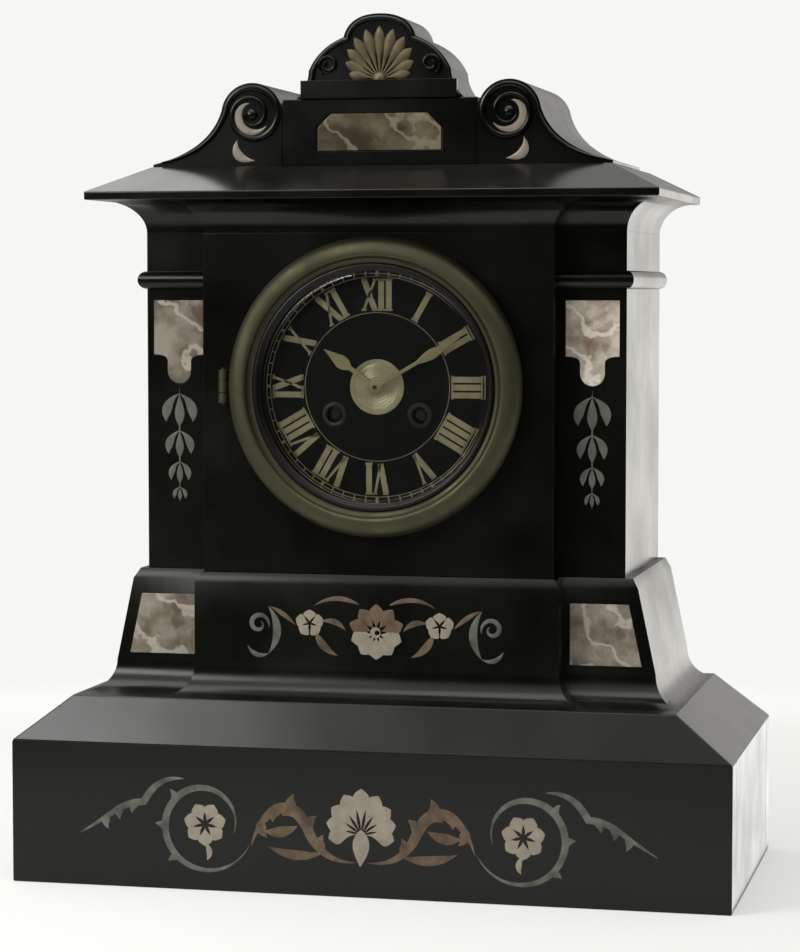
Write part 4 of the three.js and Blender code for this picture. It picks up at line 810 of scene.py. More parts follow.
def stroke(path, width, face, belly=0.5):
    """One cut line: thin at both ends and widest at its belly."""
    return band(path, taper(len(path), width, 0.12, belly), face, LINE_RISE, across=5)


def both_sides(lines, face):
    """Each (path, width, belly) line and its mirror image."""
    return [stroke(flip(path), width, face, belly)
            for path, width, belly in lines for flip in BOTH_FLIPS]


def leaves_along(path, spots, length, width, side):
    """Leaves that spring from a stem at the given shares of its length, all on one side."""
    steps = np.gradient(path, axis=0)
    found = []
    for spot in spots:
        index = int(spot * (len(path) - 1))
        forward = steps[index] / np.linalg.norm(steps[index])
        out = np.array([-forward[1], forward[0]]) * side
        root = path[index]
        bend = root + forward * length * 0.6
        found.append((pulled(root, bend, bend + out * length * 0.7, 14), width, 0.45))
    return found


def rays(angles):
    """Unit vectors at the given angles in degrees, counted from the right."""
    return [np.array([np.cos(turn), np.sin(turn)]) for turn in np.radians(angles)]


print("cut lines stand", LINE_RISE, "mm proud")

# %% [markdown]
# ## Plinth scrollwork
# A palmette stands in the middle, with brown stems that swing out to a round flower on each side.
# A grey tendril rolls round each flower and another runs outwards. The stems are pulled curves
# end to end, which keep one flowing line if each starts in the direction that the last one ended.

# %% Plinth scrollwork
PLINTH_EYE = plinth_high[2] - 39.0


def petals_round(centre, count, inner, outer, width, turn=0.0, squash=1.0):
    """Paths of a flower's petals: straight rays from an inner to an outer circle, wide near the tip."""
    found = []
    for i in range(count):
        angle = np.radians(turn) + 2 * np.pi * i / count
        ray = np.array([np.cos(angle), np.sin(angle) * squash])
        found.append((np.array(centre) + ray * np.linspace(inner, outer, 16)[:, None], width, 0.64))
    return found


palm = np.array([-0.5, PLINTH_EYE - 1.5])
pale_lines = []
for lean in np.radians(np.linspace(-100, 100, 9)):
    reach = 22.5 - 3.2 * abs(lean)
    ray = np.array([np.sin(lean), np.cos(lean)])
    bend = palm + ray * reach * 0.6 + np.array([0.0, 1.5])
    pale_lines.append((pulled(palm + ray * 2.5, bend, palm + ray * reach, 18), 8.4, 0.7))
stem = pulled(palm + [0, 2], palm - [0, 8], palm - [0.5, 16.5], 20)
pale_strokes = [stroke(path, width, PLINTH_FRONT, belly)
                for path, width, belly in pale_lines + [(stem, 8.5, 0.4)]]
rose_eye = np.array([81.0, PLINTH_EYE])
pale_strokes += both_sides(petals_round(rose_eye, 7, 2.0, 11.0, 7.5, 12)
                           + [(pulled(rose_eye - [0, 9], rose_eye - [4, 14], rose_eye - [1, 18], 12),
                               3.0, 0.5)], PLINTH_FRONT)

first_turn = np.concatenate([
    pulled((3, PLINTH_EYE - 16), (20, PLINTH_EYE - 17), (27, PLINTH_EYE - 2), 24)[:-1],
    pulled((27, PLINTH_EYE - 2), (33, PLINTH_EYE + 13), (44, PLINTH_EYE + 9), 24)[:-1],
    pulled((44, PLINTH_EYE + 9), (53, PLINTH_EYE + 4), (57, PLINTH_EYE - 10), 24)])
rolled = spiral(rose_eye, 25.0, 15.5, 202, 0.98, 90)
outer_run = np.concatenate([
    pulled((92, PLINTH_EYE + 22.5), (106, PLINTH_EYE + 24), (113, PLINTH_EYE + 10), 24)[:-1],
    pulled((113, PLINTH_EYE + 10), (122, PLINTH_EYE + 10), (131, PLINTH_EYE + 3), 20)[:-1],
    pulled((131, PLINTH_EYE + 3), (140, PLINTH_EYE - 3), (147, PLINTH_EYE - 7), 20)])
inner_leaves = leaves_along(first_turn, [0.2, 0.34, 0.5], 10, 5.5, 1)
inner_leaves += leaves_along(first_turn, [0.45, 0.62, 0.8], 10, 5.5, -1)
inner_leaves.append((pulled((20, PLINTH_EYE - 12), (34, PLINTH_EYE - 16), (48, PLINTH_EYE - 10), 24),
                     5.0, 0.5))
inner_leaves.append((pulled((33, PLINTH_EYE + 1), (42, PLINTH_EYE - 4), (50, PLINTH_EYE - 2), 20),
                     5.5, 0.5))
brown_strokes = both_sides([(first_turn, 6.0, 0.5)] + inner_leaves, PLINTH_FRONT)
grey_lines = [(rolled, 3.6, 0.5), (outer_run, 3.6, 0.4)]
grey_lines += leaves_along(rolled, [0.3, 0.42, 0.54], 7, 3.6, -1)
grey_lines += leaves_along(outer_run, [0.42, 0.56, 0.7], 8, 4.2, -1)
grey_strokes = both_sides(grey_lines, PLINTH_FRONT)
make_piece("plinth_gilding", together(*pale_strokes), gold_leaf)
make_piece("plinth_scrollwork", together(*brown_strokes), worn_gold)
make_piece("plinth_tendrils", together(*grey_strokes), rubbed_gold)
print("plinth ornament:", len(pale_strokes) + len(brown_strokes) + len(grey_strokes), "strokes")

# %% [markdown]
# ## Pedestal rosette and sprays
# The rosette has pale lower petals and brown upper ones, a bud on each side, and thin sprays that
# end in a curl. Everything but the rosette is drawn once and mirrored.

# %% Pedestal rosette and sprays
PEDESTAL_FACE = CENTRE_FRONT - FRONT_PROUD
ROSE_Z = BODY_Z - 28.5
rose = np.array([1.0, ROSE_Z])
low_petals = [(rose + ray * np.linspace(2.5, 13.5, 16)[:, None], 9.0, 0.6)
              for ray in rays([-162, -126, -90, -54, -18])]
high_petals = [(rose + ray * np.linspace(3.0, 14.5, 16)[:, None], 7.5, 0.6)
               for ray in rays([18, 54, 90, 126, 162])]
rose_strokes = [stroke(path, width, PEDESTAL_FACE, belly) for path, width, belly in low_petals]
spray_strokes = [stroke(path, width, PEDESTAL_FACE, belly) for path, width, belly in high_petals]
rose_strokes.append(stroke(arc(rose, 2.0, 0, 360, 24), 2.2, PEDESTAL_FACE))
bud = (33.5, ROSE_Z + 4.0)
rose_strokes += both_sides(petals_round(bud, 5, 1.0, 7.5, 6.5, 18, 0.9), PEDESTAL_FACE)
lyre = [(pulled((30, ROSE_Z - 1), (27, ROSE_Z - 9), (19, ROSE_Z - 12), 20), 4.0, 0.4),
        (pulled((15, ROSE_Z + 1), (20, ROSE_Z + 7), (27, ROSE_Z + 5), 20), 3.0, 0.5),
        (pulled((8, ROSE_Z + 14), (20, ROSE_Z + 20), (31, ROSE_Z + 13), 24), 2.4, 0.4),
        (pulled((41, ROSE_Z + 3), (47, ROSE_Z + 9), (54, ROSE_Z + 12), 20), 2.4, 0.5)]
outer_lines = [(pulled((55, ROSE_Z + 12), (46, ROSE_Z), (55, ROSE_Z - 12), 24), 4.2, 0.5),
               (pulled((55, ROSE_Z - 12), (62, ROSE_Z - 15), (66, ROSE_Z - 8), 20), 2.4, 0.5),
               (spiral((60, ROSE_Z + 3), 5.5, 1.6, 200, -1.2, 50), 2.4, 0.4)]
spray_strokes += both_sides(lyre, PEDESTAL_FACE)
make_piece("pedestal_rosette", together(*rose_strokes), gold_leaf)
make_piece("pedestal_sprays", together(*spray_strokes), worn_gold)
make_piece("pedestal_tendrils", together(*both_sides(outer_lines, PEDESTAL_FACE)), rubbed_gold)
print("pedestal ornament:", len(rose_strokes) + len(spray_strokes) + 2 * len(outer_lines), "strokes")

# %% [markdown]
# ## Wing pendants
# Four bellflowers hang on a thread below each shield, each smaller than the one above. A flower
# is three short bands from one point, the side ones pulled outwards.

# %% Wing pendants
def bellflower(x, top, size):
    """Three petals that hang from a point, the side ones turned outwards."""
    root = np.array([x, top])
    tips = [(-0.42, -0.85), (0.0, -1.0), (0.42, -0.85)]
    pulls = [(-0.5, -0.3), (0.0, -0.5), (0.5, -0.3)]
    return [(pulled(root, root + np.array(pull) * size, root + np.array(tip) * size, 14), size * 0.3, 0.6)
            for pull, tip in zip(pulls, tips)]


pendant = []
for drop, size in [(53.5, 17.0), (72.5, 14.0), (88.5, 11.0), (101.5, 7.0)]:
    pendant += bellflower(WING_X, CAPITAL_Z - drop, size)
thread = np.linspace((WING_X, CAPITAL_Z - 50.5), (WING_X, CAPITAL_Z - 109.5), 40)
pendant.append((thread, 0.9, 0.5))
make_piece("wing_pendants", together(*both_sides(pendant, WING_FRONT)), grey_gold)
print("wing pendants:", 2 * len(pendant), "strokes")

# %% [markdown]
# ## Bezel, seat and glass
# The seat ring is screwed into the front slab and the bezel is hinged to it. Both are turned
# brass, so each is one profile turned about the dial's axis, with its hinge knuckles added. The
# outer and inner knuckles share one pin, and a small gap between them lets the bezel swing.

# %% Bezel parts
seat_high = corners("bezel_seat")[1]
bezel_low, bezel_high = corners("bezel")
glass_low, glass_high = corners("bezel_glass")
pin_low, pin_high = corners("bezel_hinge_pin")
AXIS = (0.0, DIAL_Z)
FLANGE, RUNNING_GAP = 2.0, 0.3
BEZEL_RADIUS, OPENING_RADIUS = bezel_high[0], 58.0
BEZEL_BACK, BEZEL_FRONT = CENTRE_FRONT - FLANGE - RUNNING_GAP, bezel_low[1]
FLANGE_RADIUS = seat_high[0]
SLEEVE_OUTER, SLEEVE_INNER, LEDGE_INNER = 61.5, 60.0, 56.0
HINGE = ((pin_low[0] + pin_high[0]) / 2, (pin_low[1] + pin_high[1]) / 2)
KNUCKLE = 2.6
OUTER_SPANS, INNER_SPAN = [(-8.3, -3.3), (3.3, 8.3)], [(-3.0, 3.0)]


def knuckles(hinge, spans, arm):
    """Hinge knuckles about an upright axis; each has an arm (x0, x1, y0, y1) that joins it to its leaf."""
    x0, x1, y0, y1 = arm
    shapes = []
    for low, high in spans:
        plan = np.array([[x0, y0], [x1, y0], [x1, y1], [x0, y1]])
        shapes.append(upright(KNUCKLE, DIAL_Z + low, DIAL_Z + high, *hinge))
        shapes.append(loft([(DIAL_Z + low, plan), (DIAL_Z + high, plan)]))
    return shapes


print("bezel front at", BEZEL_FRONT, "back at", BEZEL_BACK)

# %% [markdown]
# ## Bezel and its dark slip
# The bezel's section runs from the back plane over a broad roll and down a hollow. Inside it lies
# a narrow slip ring with a small bead, painted black, which holds the glass and makes the brass
# look thinner than it is. Section points are measured inwards from the edge and back from the
# front, as a turner would mark them.

# %% Bezel and slip
def section(inwards, back):
    """A point of the bezel's section, measured from its outer edge and from its front."""
    return (BEZEL_RADIUS - inwards, BEZEL_FRONT + back)


SLIP_AT = 13
SLIP_RADIUS = BEZEL_RADIUS - SLIP_AT
roll = pulled((BEZEL_RADIUS, BEZEL_BACK - 2.5), section(0.8, 0.2), section(8, 0), 18)
crown = pulled(section(8, 0), section(9.6, 0), section(10, 1.2), 6)
dip = pulled(section(10.2, 1.8), section(11.2, 3.8), section(SLIP_AT, 3.6), 10)
bead = arc(section(14.6, 3.8), 1.5, 0, -180, 14)
rebate = glass_high[0] + RUNNING_GAP
glass_seat = glass_low[1] - RUNNING_GAP
lip = np.array([[OPENING_RADIUS, BEZEL_FRONT + 4.6], [OPENING_RADIUS, glass_seat],
                [rebate, glass_seat], [rebate, BEZEL_BACK], [SLIP_RADIUS, BEZEL_BACK]])
bezel_profile = np.concatenate([roll, crown[1:], dip,
                                [[SLIP_RADIUS, BEZEL_BACK], [BEZEL_RADIUS, BEZEL_BACK]]])
slip_profile = np.concatenate([[section(SLIP_AT, 3.6)], bead, lip])
bezel_arm = (HINGE[0], 2 - BEZEL_RADIUS, HINGE[1], BEZEL_BACK - RUNNING_GAP)
bezel_shape = together(turned(bezel_profile, AXIS, 144), *knuckles(HINGE, INNER_SPAN, bezel_arm))
bezel_ring = make_piece("bezel_ring", bezel_shape, case_brass, "front_bezel", ["bezel"], 40)
soften(bezel_ring, 0.3, 50)
make_piece("bezel_slip", turned(slip_profile, AXIS, 144), dial_black, "front_bezel", sharp=40)
print("bezel and slip:", len(bezel_profile) + len(slip_profile), "points in their sections")

# %% [markdown]
# ## Seat ring and glass
# The seat is a sleeve in the slab's opening, with a flange in front and a ledge behind that holds
# the dial. The glass is a flat disc with a wide shallow bevel, which bends the light at its edge.

# %% Seat and glass
seat_front, ledge_front = CENTRE_FRONT - FLANGE, seat_high[1] - 2
seat_profile = [[SLEEVE_INNER, seat_front + 0.4], [SLEEVE_INNER + 0.4, seat_front],
                [FLANGE_RADIUS - 0.8, seat_front], [FLANGE_RADIUS, seat_front + 0.8],
                [FLANGE_RADIUS, CENTRE_FRONT], [SLEEVE_OUTER, CENTRE_FRONT],
                [SLEEVE_OUTER, seat_high[1]], [LEDGE_INNER, seat_high[1]],
                [LEDGE_INNER, ledge_front], [SLEEVE_INNER, ledge_front]]
seat_arm = (HINGE[0], 1 - FLANGE_RADIUS, seat_front, CENTRE_FRONT - RUNNING_GAP)
seat_shape = together(turned(seat_profile, AXIS, 120), *knuckles(HINGE, OUTER_SPANS, seat_arm))
make_piece("seat_ring", seat_shape, case_brass, "case", ["bezel_seat"], 30)
dress("bezel_hinge_pin", case_brass, 0.2)

GLASS_BEVEL = 4.0
glass_profile = [[0, glass_low[1]], [glass_high[0] - GLASS_BEVEL, glass_low[1]],
                 [glass_high[0], (glass_low[1] + glass_high[1]) / 2], [glass_high[0], glass_high[1]],
                 [0, glass_high[1]]]
make_piece("dial_glass", turned(glass_profile, AXIS, 120), glass, "front_bezel",
           ["bezel_glass"], 8)
print("glass from", glass_low[1], "to", glass_high[1])

# %% [markdown]
# ## Numerals
# The black dial keeps its disc from the frame. On it stand gilt Roman figures whose feet point to
# the centre. A letter is a few straight bars with serifs. A word is set out from its letters'
# widths, and each word is turned to its hour, so twelve hours come from three letters.

# %% Numerals
DIAL_FACE = dial_high[1]
NUMERAL_INNER, NUMERAL_OUTER = 38.5, 53.6
NUMERAL_RISE = 0.16
TRACK_INNER, TRACK_OUTER = 55.2, 57.2
HOURS = ["XII", "I", "II", "III", "IIII", "V", "VI", "VII", "VIII", "IX", "X", "XI"]
ADVANCE = {"I": 3.9, "V": 8.2, "X": 8.2}
THICK, THIN, SERIF = 1.45, 0.6, 0.5
SUNK = 0.2


def figure_bars(letter, height):
    """The bars of one Roman letter as (x0, z0, x1, z1, half width), centred on its middle."""
    top = height / 2
    if letter == "I":
        return [(0, -top, 0, top, THICK), (-1.9, top, 1.9, top, SERIF), (-1.9, -top, 1.9, -top, SERIF)]
    if letter == "V":
        return [(-2.8, top, 0.2, -top, THICK), (2.9, top, 0.2, -top, THIN),
                (-4.0, top, -1.2, top, SERIF), (1.8, top, 4.0, top, SERIF)]
    return [(-2.8, top, 2.8, -top, THICK), (2.8, top, -2.8, -top, THIN),
            (-4.0, top, -1.3, top, SERIF), (1.6, top, 4.0, top, SERIF),
            (-4.0, -top, -1.6, -top, SERIF), (1.3, -top, 4.0, -top, SERIF)]


def bars_to_shape(bars, front, rise):
    """Flat bars from rows of (x0, z0, x1, z1, half width): each is a thin block sunk in the face."""
    rows = np.array(bars, float)
    start, end, half = rows[:, :2], rows[:, 2:4], rows[:, 4:]
    along = (end - start) / np.linalg.norm(end - start, axis=1, keepdims=True)
    out = np.stack([-along[:, 1], along[:, 0]], 1) * half
    corner = np.stack([start - out, end - out, end + out, start + out], 1)
    planes = [np.concatenate([corner[..., :1], np.full_like(corner[..., :1], depth), corner[..., 1:]], -1)
              for depth in (front + SUNK, front - rise)]
    points = np.concatenate(planes, 1).reshape(-1, 3)
    block = np.array([[0, 1, 2, 3], [7, 6, 5, 4], [0, 4, 5, 1],
                      [1, 5, 6, 2], [2, 6, 7, 3], [3, 7, 4, 0]])
    return points, (block[None] + 8 * np.arange(len(rows))[:, None, None]).reshape(-1, 4).tolist()


def round_dial(bars, hour):
    """Bars drawn upright about (0, 0) are set at the middle of the chapter ring and turned to an hour."""
    turn = -2 * np.pi * hour / 12
    middle = (NUMERAL_INNER + NUMERAL_OUTER) / 2
    rows = np.array(bars, float)
    ends = rows[:, :4].reshape(-1, 2, 2) + np.array([0.0, middle])
    x = ends[..., 0] * np.cos(turn) - ends[..., 1] * np.sin(turn)
    z = ends[..., 0] * np.sin(turn) + ends[..., 1] * np.cos(turn) + DIAL_Z
    return np.column_stack([x[:, 0], z[:, 0], x[:, 1], z[:, 1], rows[:, 4]])


numeral_bars = []
for hour, word in enumerate(HOURS):
    width = sum(ADVANCE[letter] for letter in word)
    left = -width / 2
    for letter in word:
        shift = left + ADVANCE[letter] / 2
        bars = [(x0 + shift, z0, x1 + shift, z1, half)
                for x0, z0, x1, z1, half in figure_bars(letter, NUMERAL_OUTER - NUMERAL_INNER)]
        numeral_bars.append(round_dial(bars, hour))
        left += ADVANCE[letter]
numerals = bars_to_shape(np.concatenate(numeral_bars), DIAL_FACE, NUMERAL_RISE)
print("numerals:", len(np.concatenate(numeral_bars)), "bars")

# %% [markdown]
# ## Minute track
# Sixty marks lie between two fine circles, a wider one at each hour, and a third circle rules the
# numerals off inside. All the gilding of the dial is one piece, as it was one job for the gilder.

# %% Minute track
HOUR_MARK, MINUTE_MARK = 0.75, 0.28
NUMERAL_LINE = 37.2
minute = np.radians(np.arange(60) * 6)
mark = np.where(np.arange(60) % 5 == 0, HOUR_MARK, MINUTE_MARK)
marks = np.column_stack([TRACK_INNER * np.sin(minute), DIAL_Z + TRACK_INNER * np.cos(minute),
                         TRACK_OUTER * np.sin(minute), DIAL_Z + TRACK_OUTER * np.cos(minute), mark])


def thin_ring(radius, width):
    """A flat gilt line round the dial."""
    inner, outer = radius - width / 2, radius + width / 2
    front, back = DIAL_FACE - NUMERAL_RISE, DIAL_FACE + SUNK
    return turned([[inner, front], [outer, front], [outer, back], [inner, back]], AXIS, 144)


track = together(numerals, bars_to_shape(marks, DIAL_FACE, NUMERAL_RISE), thin_ring(TRACK_INNER, 0.35),
                 thin_ring(TRACK_OUTER, 0.35), thin_ring(NUMERAL_LINE, 0.3))
make_piece("dial_gilding", track, dial_gilt, sharp=20)
dress("dial", dial_black, 0.1)
print("minute track:", len(marks), "marks")

# %% [markdown]
# ## Dial centre and collets
# The gilt centre is engine-turned: fine rings cut in a lathe, here a cosine along the radius, with
# a rolled rim. Brass collets line the two winding holes, whose places are the barrels' axes.

# %% Dial centre and collets
CENTRE_RADIUS, CENTRE_FACE = dial_high[0], dial_low[1]
CENTRE_BORE = 3.3
RIPPLE_PITCH, RIPPLE_DEPTH = 1.35, 0.1
ripple = np.linspace(CENTRE_BORE, CENTRE_RADIUS - 2.2, 46)
wave = CENTRE_FACE + 0.16 + RIPPLE_DEPTH * np.cos((ripple - CENTRE_BORE) * 2 * np.pi / RIPPLE_PITCH)
rim_roll = arc((CENTRE_RADIUS - 1.2, CENTRE_FACE + 0.5), 1.1, -170, 0, 12)
rim_roll[:, 1] = np.minimum(rim_roll[:, 1], DIAL_FACE)
centre_profile = np.concatenate([np.column_stack([ripple, wave]), np.maximum(rim_roll, [0, CENTRE_FACE]),
                                 [[CENTRE_RADIUS, DIAL_FACE], [CENTRE_BORE, DIAL_FACE]]])
make_piece("dial_rosette", turned(centre_profile, AXIS, 120), dial_gilt,
           stands_for=["dial_centre"], sharp=50)
going_low, going_high = corners("going_barrel")
winding_x = (going_low[0] + going_high[0]) / 2
winding_z = (going_low[2] + going_high[2]) / 2
collet = np.array([[4.2, -0.7], [4.6, -0.95], [5.6, -0.8], [6.3, -0.2],
                   [6.4, 0], [4.75, 0], [4.75, 1.4], [4.2, 1.4]]) + [0, DIAL_FACE]
collets = [turned(collet, (sign * winding_x, winding_z), 48) for sign in (-1, 1)]
make_piece("winding_collets", together(*collets), case_brass, sharp=40)
print("winding holes at", winding_x, winding_z)

# %% [markdown]
# ## Hands
# Each hand is a plate cut to a formula: a round boss, a tapering stalk, a swelling and a point. It
# is drawn pointing up, turned to its time and bevelled like a filed edge. At ten past ten the
# minute hand has turned a sixth of a circle and the hour hand ten and a sixth twelfths.

# %% Hands
MINUTE_ANGLE = np.radians(60)
HOUR_ANGLE = np.radians(305)
STALK_GAP = 0.32


def hand_outline(length, boss, swell):
    """Outline of a hand that points up: the boss, then its right side, the point and its left side."""
    middle = length * 0.68
    gap = np.degrees(STALK_GAP)
    ring = arc((0, 0), boss, 90 + gap, 450 - gap, 40)
    stalk = np.array([[swell * 0.34, length * 0.5]])
    right = pulled((swell * 0.34, length * 0.5), (swell * 1.1, middle - swell), (swell, middle), 12)[1:]
    tip = pulled((swell, middle), (swell * 0.5, length * 0.82), (0, length), 12)[1:]
    half = np.concatenate([stalk, right, tip])
    return np.concatenate([ring, half, mirrored(half)[::-1][1:]])


def turn_hand(outline, angle):
    """Turned clockwise, as seen from the front, and set on the dial's axis."""
    x = outline[:, 0] * np.cos(angle) + outline[:, 1] * np.sin(angle)
    z = outline[:, 1] * np.cos(angle) - outline[:, 0] * np.sin(angle)
    return np.column_stack([x, z + DIAL_Z])


for node, body, angle, sizes in [("hour_hand", "hour_train", HOUR_ANGLE, (33, 4.2, 3.4)),
                                 ("minute_hand", "minute_train", MINUTE_ANGLE, (50, 3.0, 2.6))]:
    low, high = corners(node)
    outline = turn_hand(hand_outline(*sizes), angle)
    piece = make_piece(f"{node}_blade", plate(outline, low[1], high[1]), hand_brass, body, [node])
    soften(piece, 0.25, 40)
print("hands at ten past ten")

# %% [markdown]
# ## Back ring
# Behind the movement another turned ring lines the opening in the back slab and carries the hinge
# of a round door. Its section and its knuckles are made by the functions that made the seat ring.

# %% Back ring
DOOR_RADIUS, DOOR_OUTSET = 66.0, 3.2
DOOR_HINGE = (-(DOOR_RADIUS + DOOR_OUTSET), BODY_BACK + FLANGE + KNUCKLE + RUNNING_GAP)
ring_profile = np.array([[LEDGE_INNER, -12], [SLEEVE_OUTER, -12], [SLEEVE_OUTER, 0],
                         [FLANGE_RADIUS, 0], [FLANGE_RADIUS, 1.4], [FLANGE_RADIUS - 0.6, FLANGE],
                         [SLEEVE_INNER, FLANGE], [SLEEVE_INNER, -10],
                         [LEDGE_INNER, -10]]) + [0, BODY_BACK]
ring_arm = (DOOR_HINGE[0] - 2.2, DOOR_HINGE[0] + 2.2, BODY_BACK + 1.5, DOOR_HINGE[1])
door_pin = upright(1.0, DIAL_Z - 9.3, DIAL_Z + 9.3, *DOOR_HINGE)
ring_shape = together(turned(ring_profile, AXIS, 120),
                      *knuckles(DOOR_HINGE, OUTER_SPANS, ring_arm), door_pin)
make_piece("rear_ring", ring_shape, case_brass, "case", ["back_ring"], 30)
print("back ring: hinge at", DOOR_HINGE)

# %% [markdown]
# ## Back door
# The door is pressed brass: a flat disc with a rolled rim, a raised step and a small turned knob.
# Its section is a list of steps from its face, and its one knuckle sits between the ring's two.

# %% Back door
DOOR_FRONT = BODY_BACK + FLANGE + RUNNING_GAP
DOOR_FACE = DOOR_FRONT + 1.5
KNOB_X = DOOR_RADIUS - 8
disc = [[0, DOOR_FRONT], [DOOR_RADIUS, DOOR_FRONT]]
steps = np.array([[DOOR_RADIUS, -0.3], [DOOR_RADIUS - 0.7, 0], [DOOR_RADIUS - 4, 0],
                  [DOOR_RADIUS - 5, 0.5], [DOOR_RADIUS - 6.6, 0.6], [DOOR_RADIUS - 8, 0.1],
                  [DOOR_RADIUS - 9, -0.5], [30, -0.5], [28.5, 0], [26, 0],
                  [24.5, -0.5], [0, -0.5]]) + [0, DOOR_FACE]
knob = np.array([[0, -0.6], [1.5, -0.6], [1.3, 1.2], [2.4, 2.2], [2.6, 3.0], [2.0, 3.8]]) + [0, DOOR_FACE]
knob_profile = np.concatenate([knob, [[0, corners("back_door")[1][1]]]])
door_arm = (DOOR_HINGE[0], 2 - DOOR_RADIUS, DOOR_FRONT, DOOR_FACE)
door_shape = together(turned(np.concatenate([disc, steps]), AXIS, 144),
                      turned(knob_profile, (KNOB_X, DIAL_Z), 28),
                      *knuckles(DOOR_HINGE, INNER_SPAN, door_arm))
make_piece("rear_door", door_shape, case_brass, "back_cover", ["back_door"], 40)
print("back door: face at", DOOR_FACE)

# %% [markdown]
# ## Bell and bob
# The bell is a shallow bowl of even wall, drawn as an outer and an inner pulled curve. The bob is
# a lens: half of an ellipse each side of a flat edge.

# %% Bell and bob
bell_low, bell_high = corners("bell")
BELL_RADIUS, BELL_WALL, STEM_BORE = bell_high[0], 2.0, 2.3
outer_curve = pulled((BELL_RADIUS, bell_low[1]), (BELL_RADIUS * 0.97, bell_high[1] - 0.2),
                     (BELL_RADIUS * 0.5, bell_high[1]), 24)
inner_curve = pulled((BELL_RADIUS * 0.5, bell_high[1] - BELL_WALL),
                     (BELL_RADIUS * 0.9, bell_high[1] - BELL_WALL - 0.2),
                     (BELL_RADIUS - BELL_WALL, bell_low[1]), 24)
stem_hole = [[STEM_BORE, bell_high[1]], [STEM_BORE, bell_high[1] - BELL_WALL]]
bell_profile = np.concatenate([outer_curve, stem_hole, inner_curve])
make_piece("bell_bowl", turned(bell_profile, AXIS, 96), bell_metal, "case", ["bell"], 40)

bob_low, bob_high = corners("pendulum_bob")
bob_y, bob_z = (bob_low[1] + bob_high[1]) / 2, (bob_low[2] + bob_high[2]) / 2
bob_radius, bob_half = bob_high[0], (bob_high[1] - bob_low[1]) / 2
BOB_EDGE = 1.0
outwards = np.linspace(0, 1, 20)
lens = np.column_stack([bob_radius * outwards,
                        BOB_EDGE + (bob_half - BOB_EDGE) * np.sqrt(1 - outwards ** 2)])
bob_profile = np.concatenate([lens * [1, -1], lens[::-1]]) + [0, bob_y]
make_piece("bob_lens", turned(bob_profile, (0, bob_z), 72), movement_brass, "pendulum",
           ["pendulum_bob"], 60)
print("bell radius", BELL_RADIUS, "bob radius", bob_radius)

# %% [markdown]
# ## The movement
# Plates, wheels and arbors are hidden until a door opens, but they are real pieces, so each gets
# its metal. A very small bevel takes the razor edge off the plates and the wheels.

# %% Movement finishes
THIN_EDGE = 0.08
brass_nodes = ["front_plate", "back_plate", "pillar_1", "pillar_2", "pillar_3", "pillar_4", "going_barrel",
               "strike_barrel", "second_wheel", "centre_wheel", "third_wheel", "escape_wheel",
               "minute_wheel", "hour_wheel", "pendulum_rod", "suspension_cock"]
steel_nodes = ["going_winding_arbor", "strike_winding_arbor", "anchor", "hammer", "bell_stand"]
for name in brass_nodes:
    dress(name, movement_brass, THIN_EDGE, 50)
for name in steel_nodes:
    dress(name, steel, THIN_EDGE, 50)
for name in ["strap_left", "strap_right"]:
    dress(name, case_brass, 0.15)
print("movement:", len(brass_nodes) + len(steel_nodes) + 2, "nodes dressed")

# %% [markdown]
# ## Floor
# A pale floor carries the clock and its shadow. It fades out before it ends, so no edge shows
# against the white background. In the photograph the shadow is very light, so part of the floor's
# own light is added for rays that come from the camera or from a reflection.

# %% Floor
FLOOR_NEAR, FLOOR_FAR = 0.45, 0.8
FLOOR_DROP = 0.05
FLOOR_CORNERS = 96
SHADOW_LIFT = 0.55


def make_floor():
    """White paper: diffuse mixed with its own light, and mixed with nothing as the reach grows."""
    material = bpy.data.materials.new("white_table")
    material.use_nodes = True
    tree = material.node_tree
    tree.nodes.clear()
    place = add_node(tree, "ShaderNodeTexCoord").outputs["Object"]
    reach = add_node(tree, "ShaderNodeVectorMath", settings={"operation": "LENGTH"}, links={0: place})
    fade = add_node(tree, "ShaderNodeMapRange", settings={"interpolation_type": "SMOOTHSTEP"},
                    values={"From Min": FLOOR_NEAR, "From Max": FLOOR_FAR},
                    links={"Value": reach.outputs["Value"]})
    paper = add_node(tree, "ShaderNodeBsdfDiffuse", values={"Color": colour("#f6f6f2")})
    clear = add_node(tree, "ShaderNodeBsdfTransparent")
    ray = add_node(tree, "ShaderNodeLightPath")
    looked_at = add_node(tree, "ShaderNodeMath", settings={"operation": "MAXIMUM"},
                         links={0: ray.outputs["Is Camera Ray"], 1: ray.outputs["Is Glossy Ray"]})
    share = add_node(tree, "ShaderNodeMath", settings={"operation": "MULTIPLY"}, values={1: SHADOW_LIFT},
                     links={0: looked_at.outputs["Value"]})
    bright = add_node(tree, "ShaderNodeEmission", values={"Color": colour("#f6f6f2"), "Strength": 1.0})
    lifted = add_node(tree, "ShaderNodeMixShader",
                      links={0: share.outputs["Value"], 1: paper.outputs[0], 2: bright.outputs[0]})
    blend = add_node(tree, "ShaderNodeMixShader",
                     links={0: fade.outputs["Result"], 1: lifted.outputs[0], 2: clear.outputs[0]})
    close_finish(tree, blend)
    return material


floor_ring = arc((0, 0), FLOOR_FAR / MM, 0, 360, FLOOR_CORNERS + 1)[:-1]
floor_mesh = bpy.data.meshes.new("floor")
floor_points = np.column_stack([floor_ring, np.full(FLOOR_CORNERS, -FLOOR_DROP)]) * MM
floor_mesh.from_pydata(floor_points.tolist(), [], [list(range(FLOOR_CORNERS))])
floor_mesh.materials.append(make_floor())
floor = bpy.data.objects.new("floor", floor_mesh)
bpy.context.scene.collection.objects.link(floor)
print("floor fades from", FLOOR_NEAR, "to", FLOOR_FAR, "m")

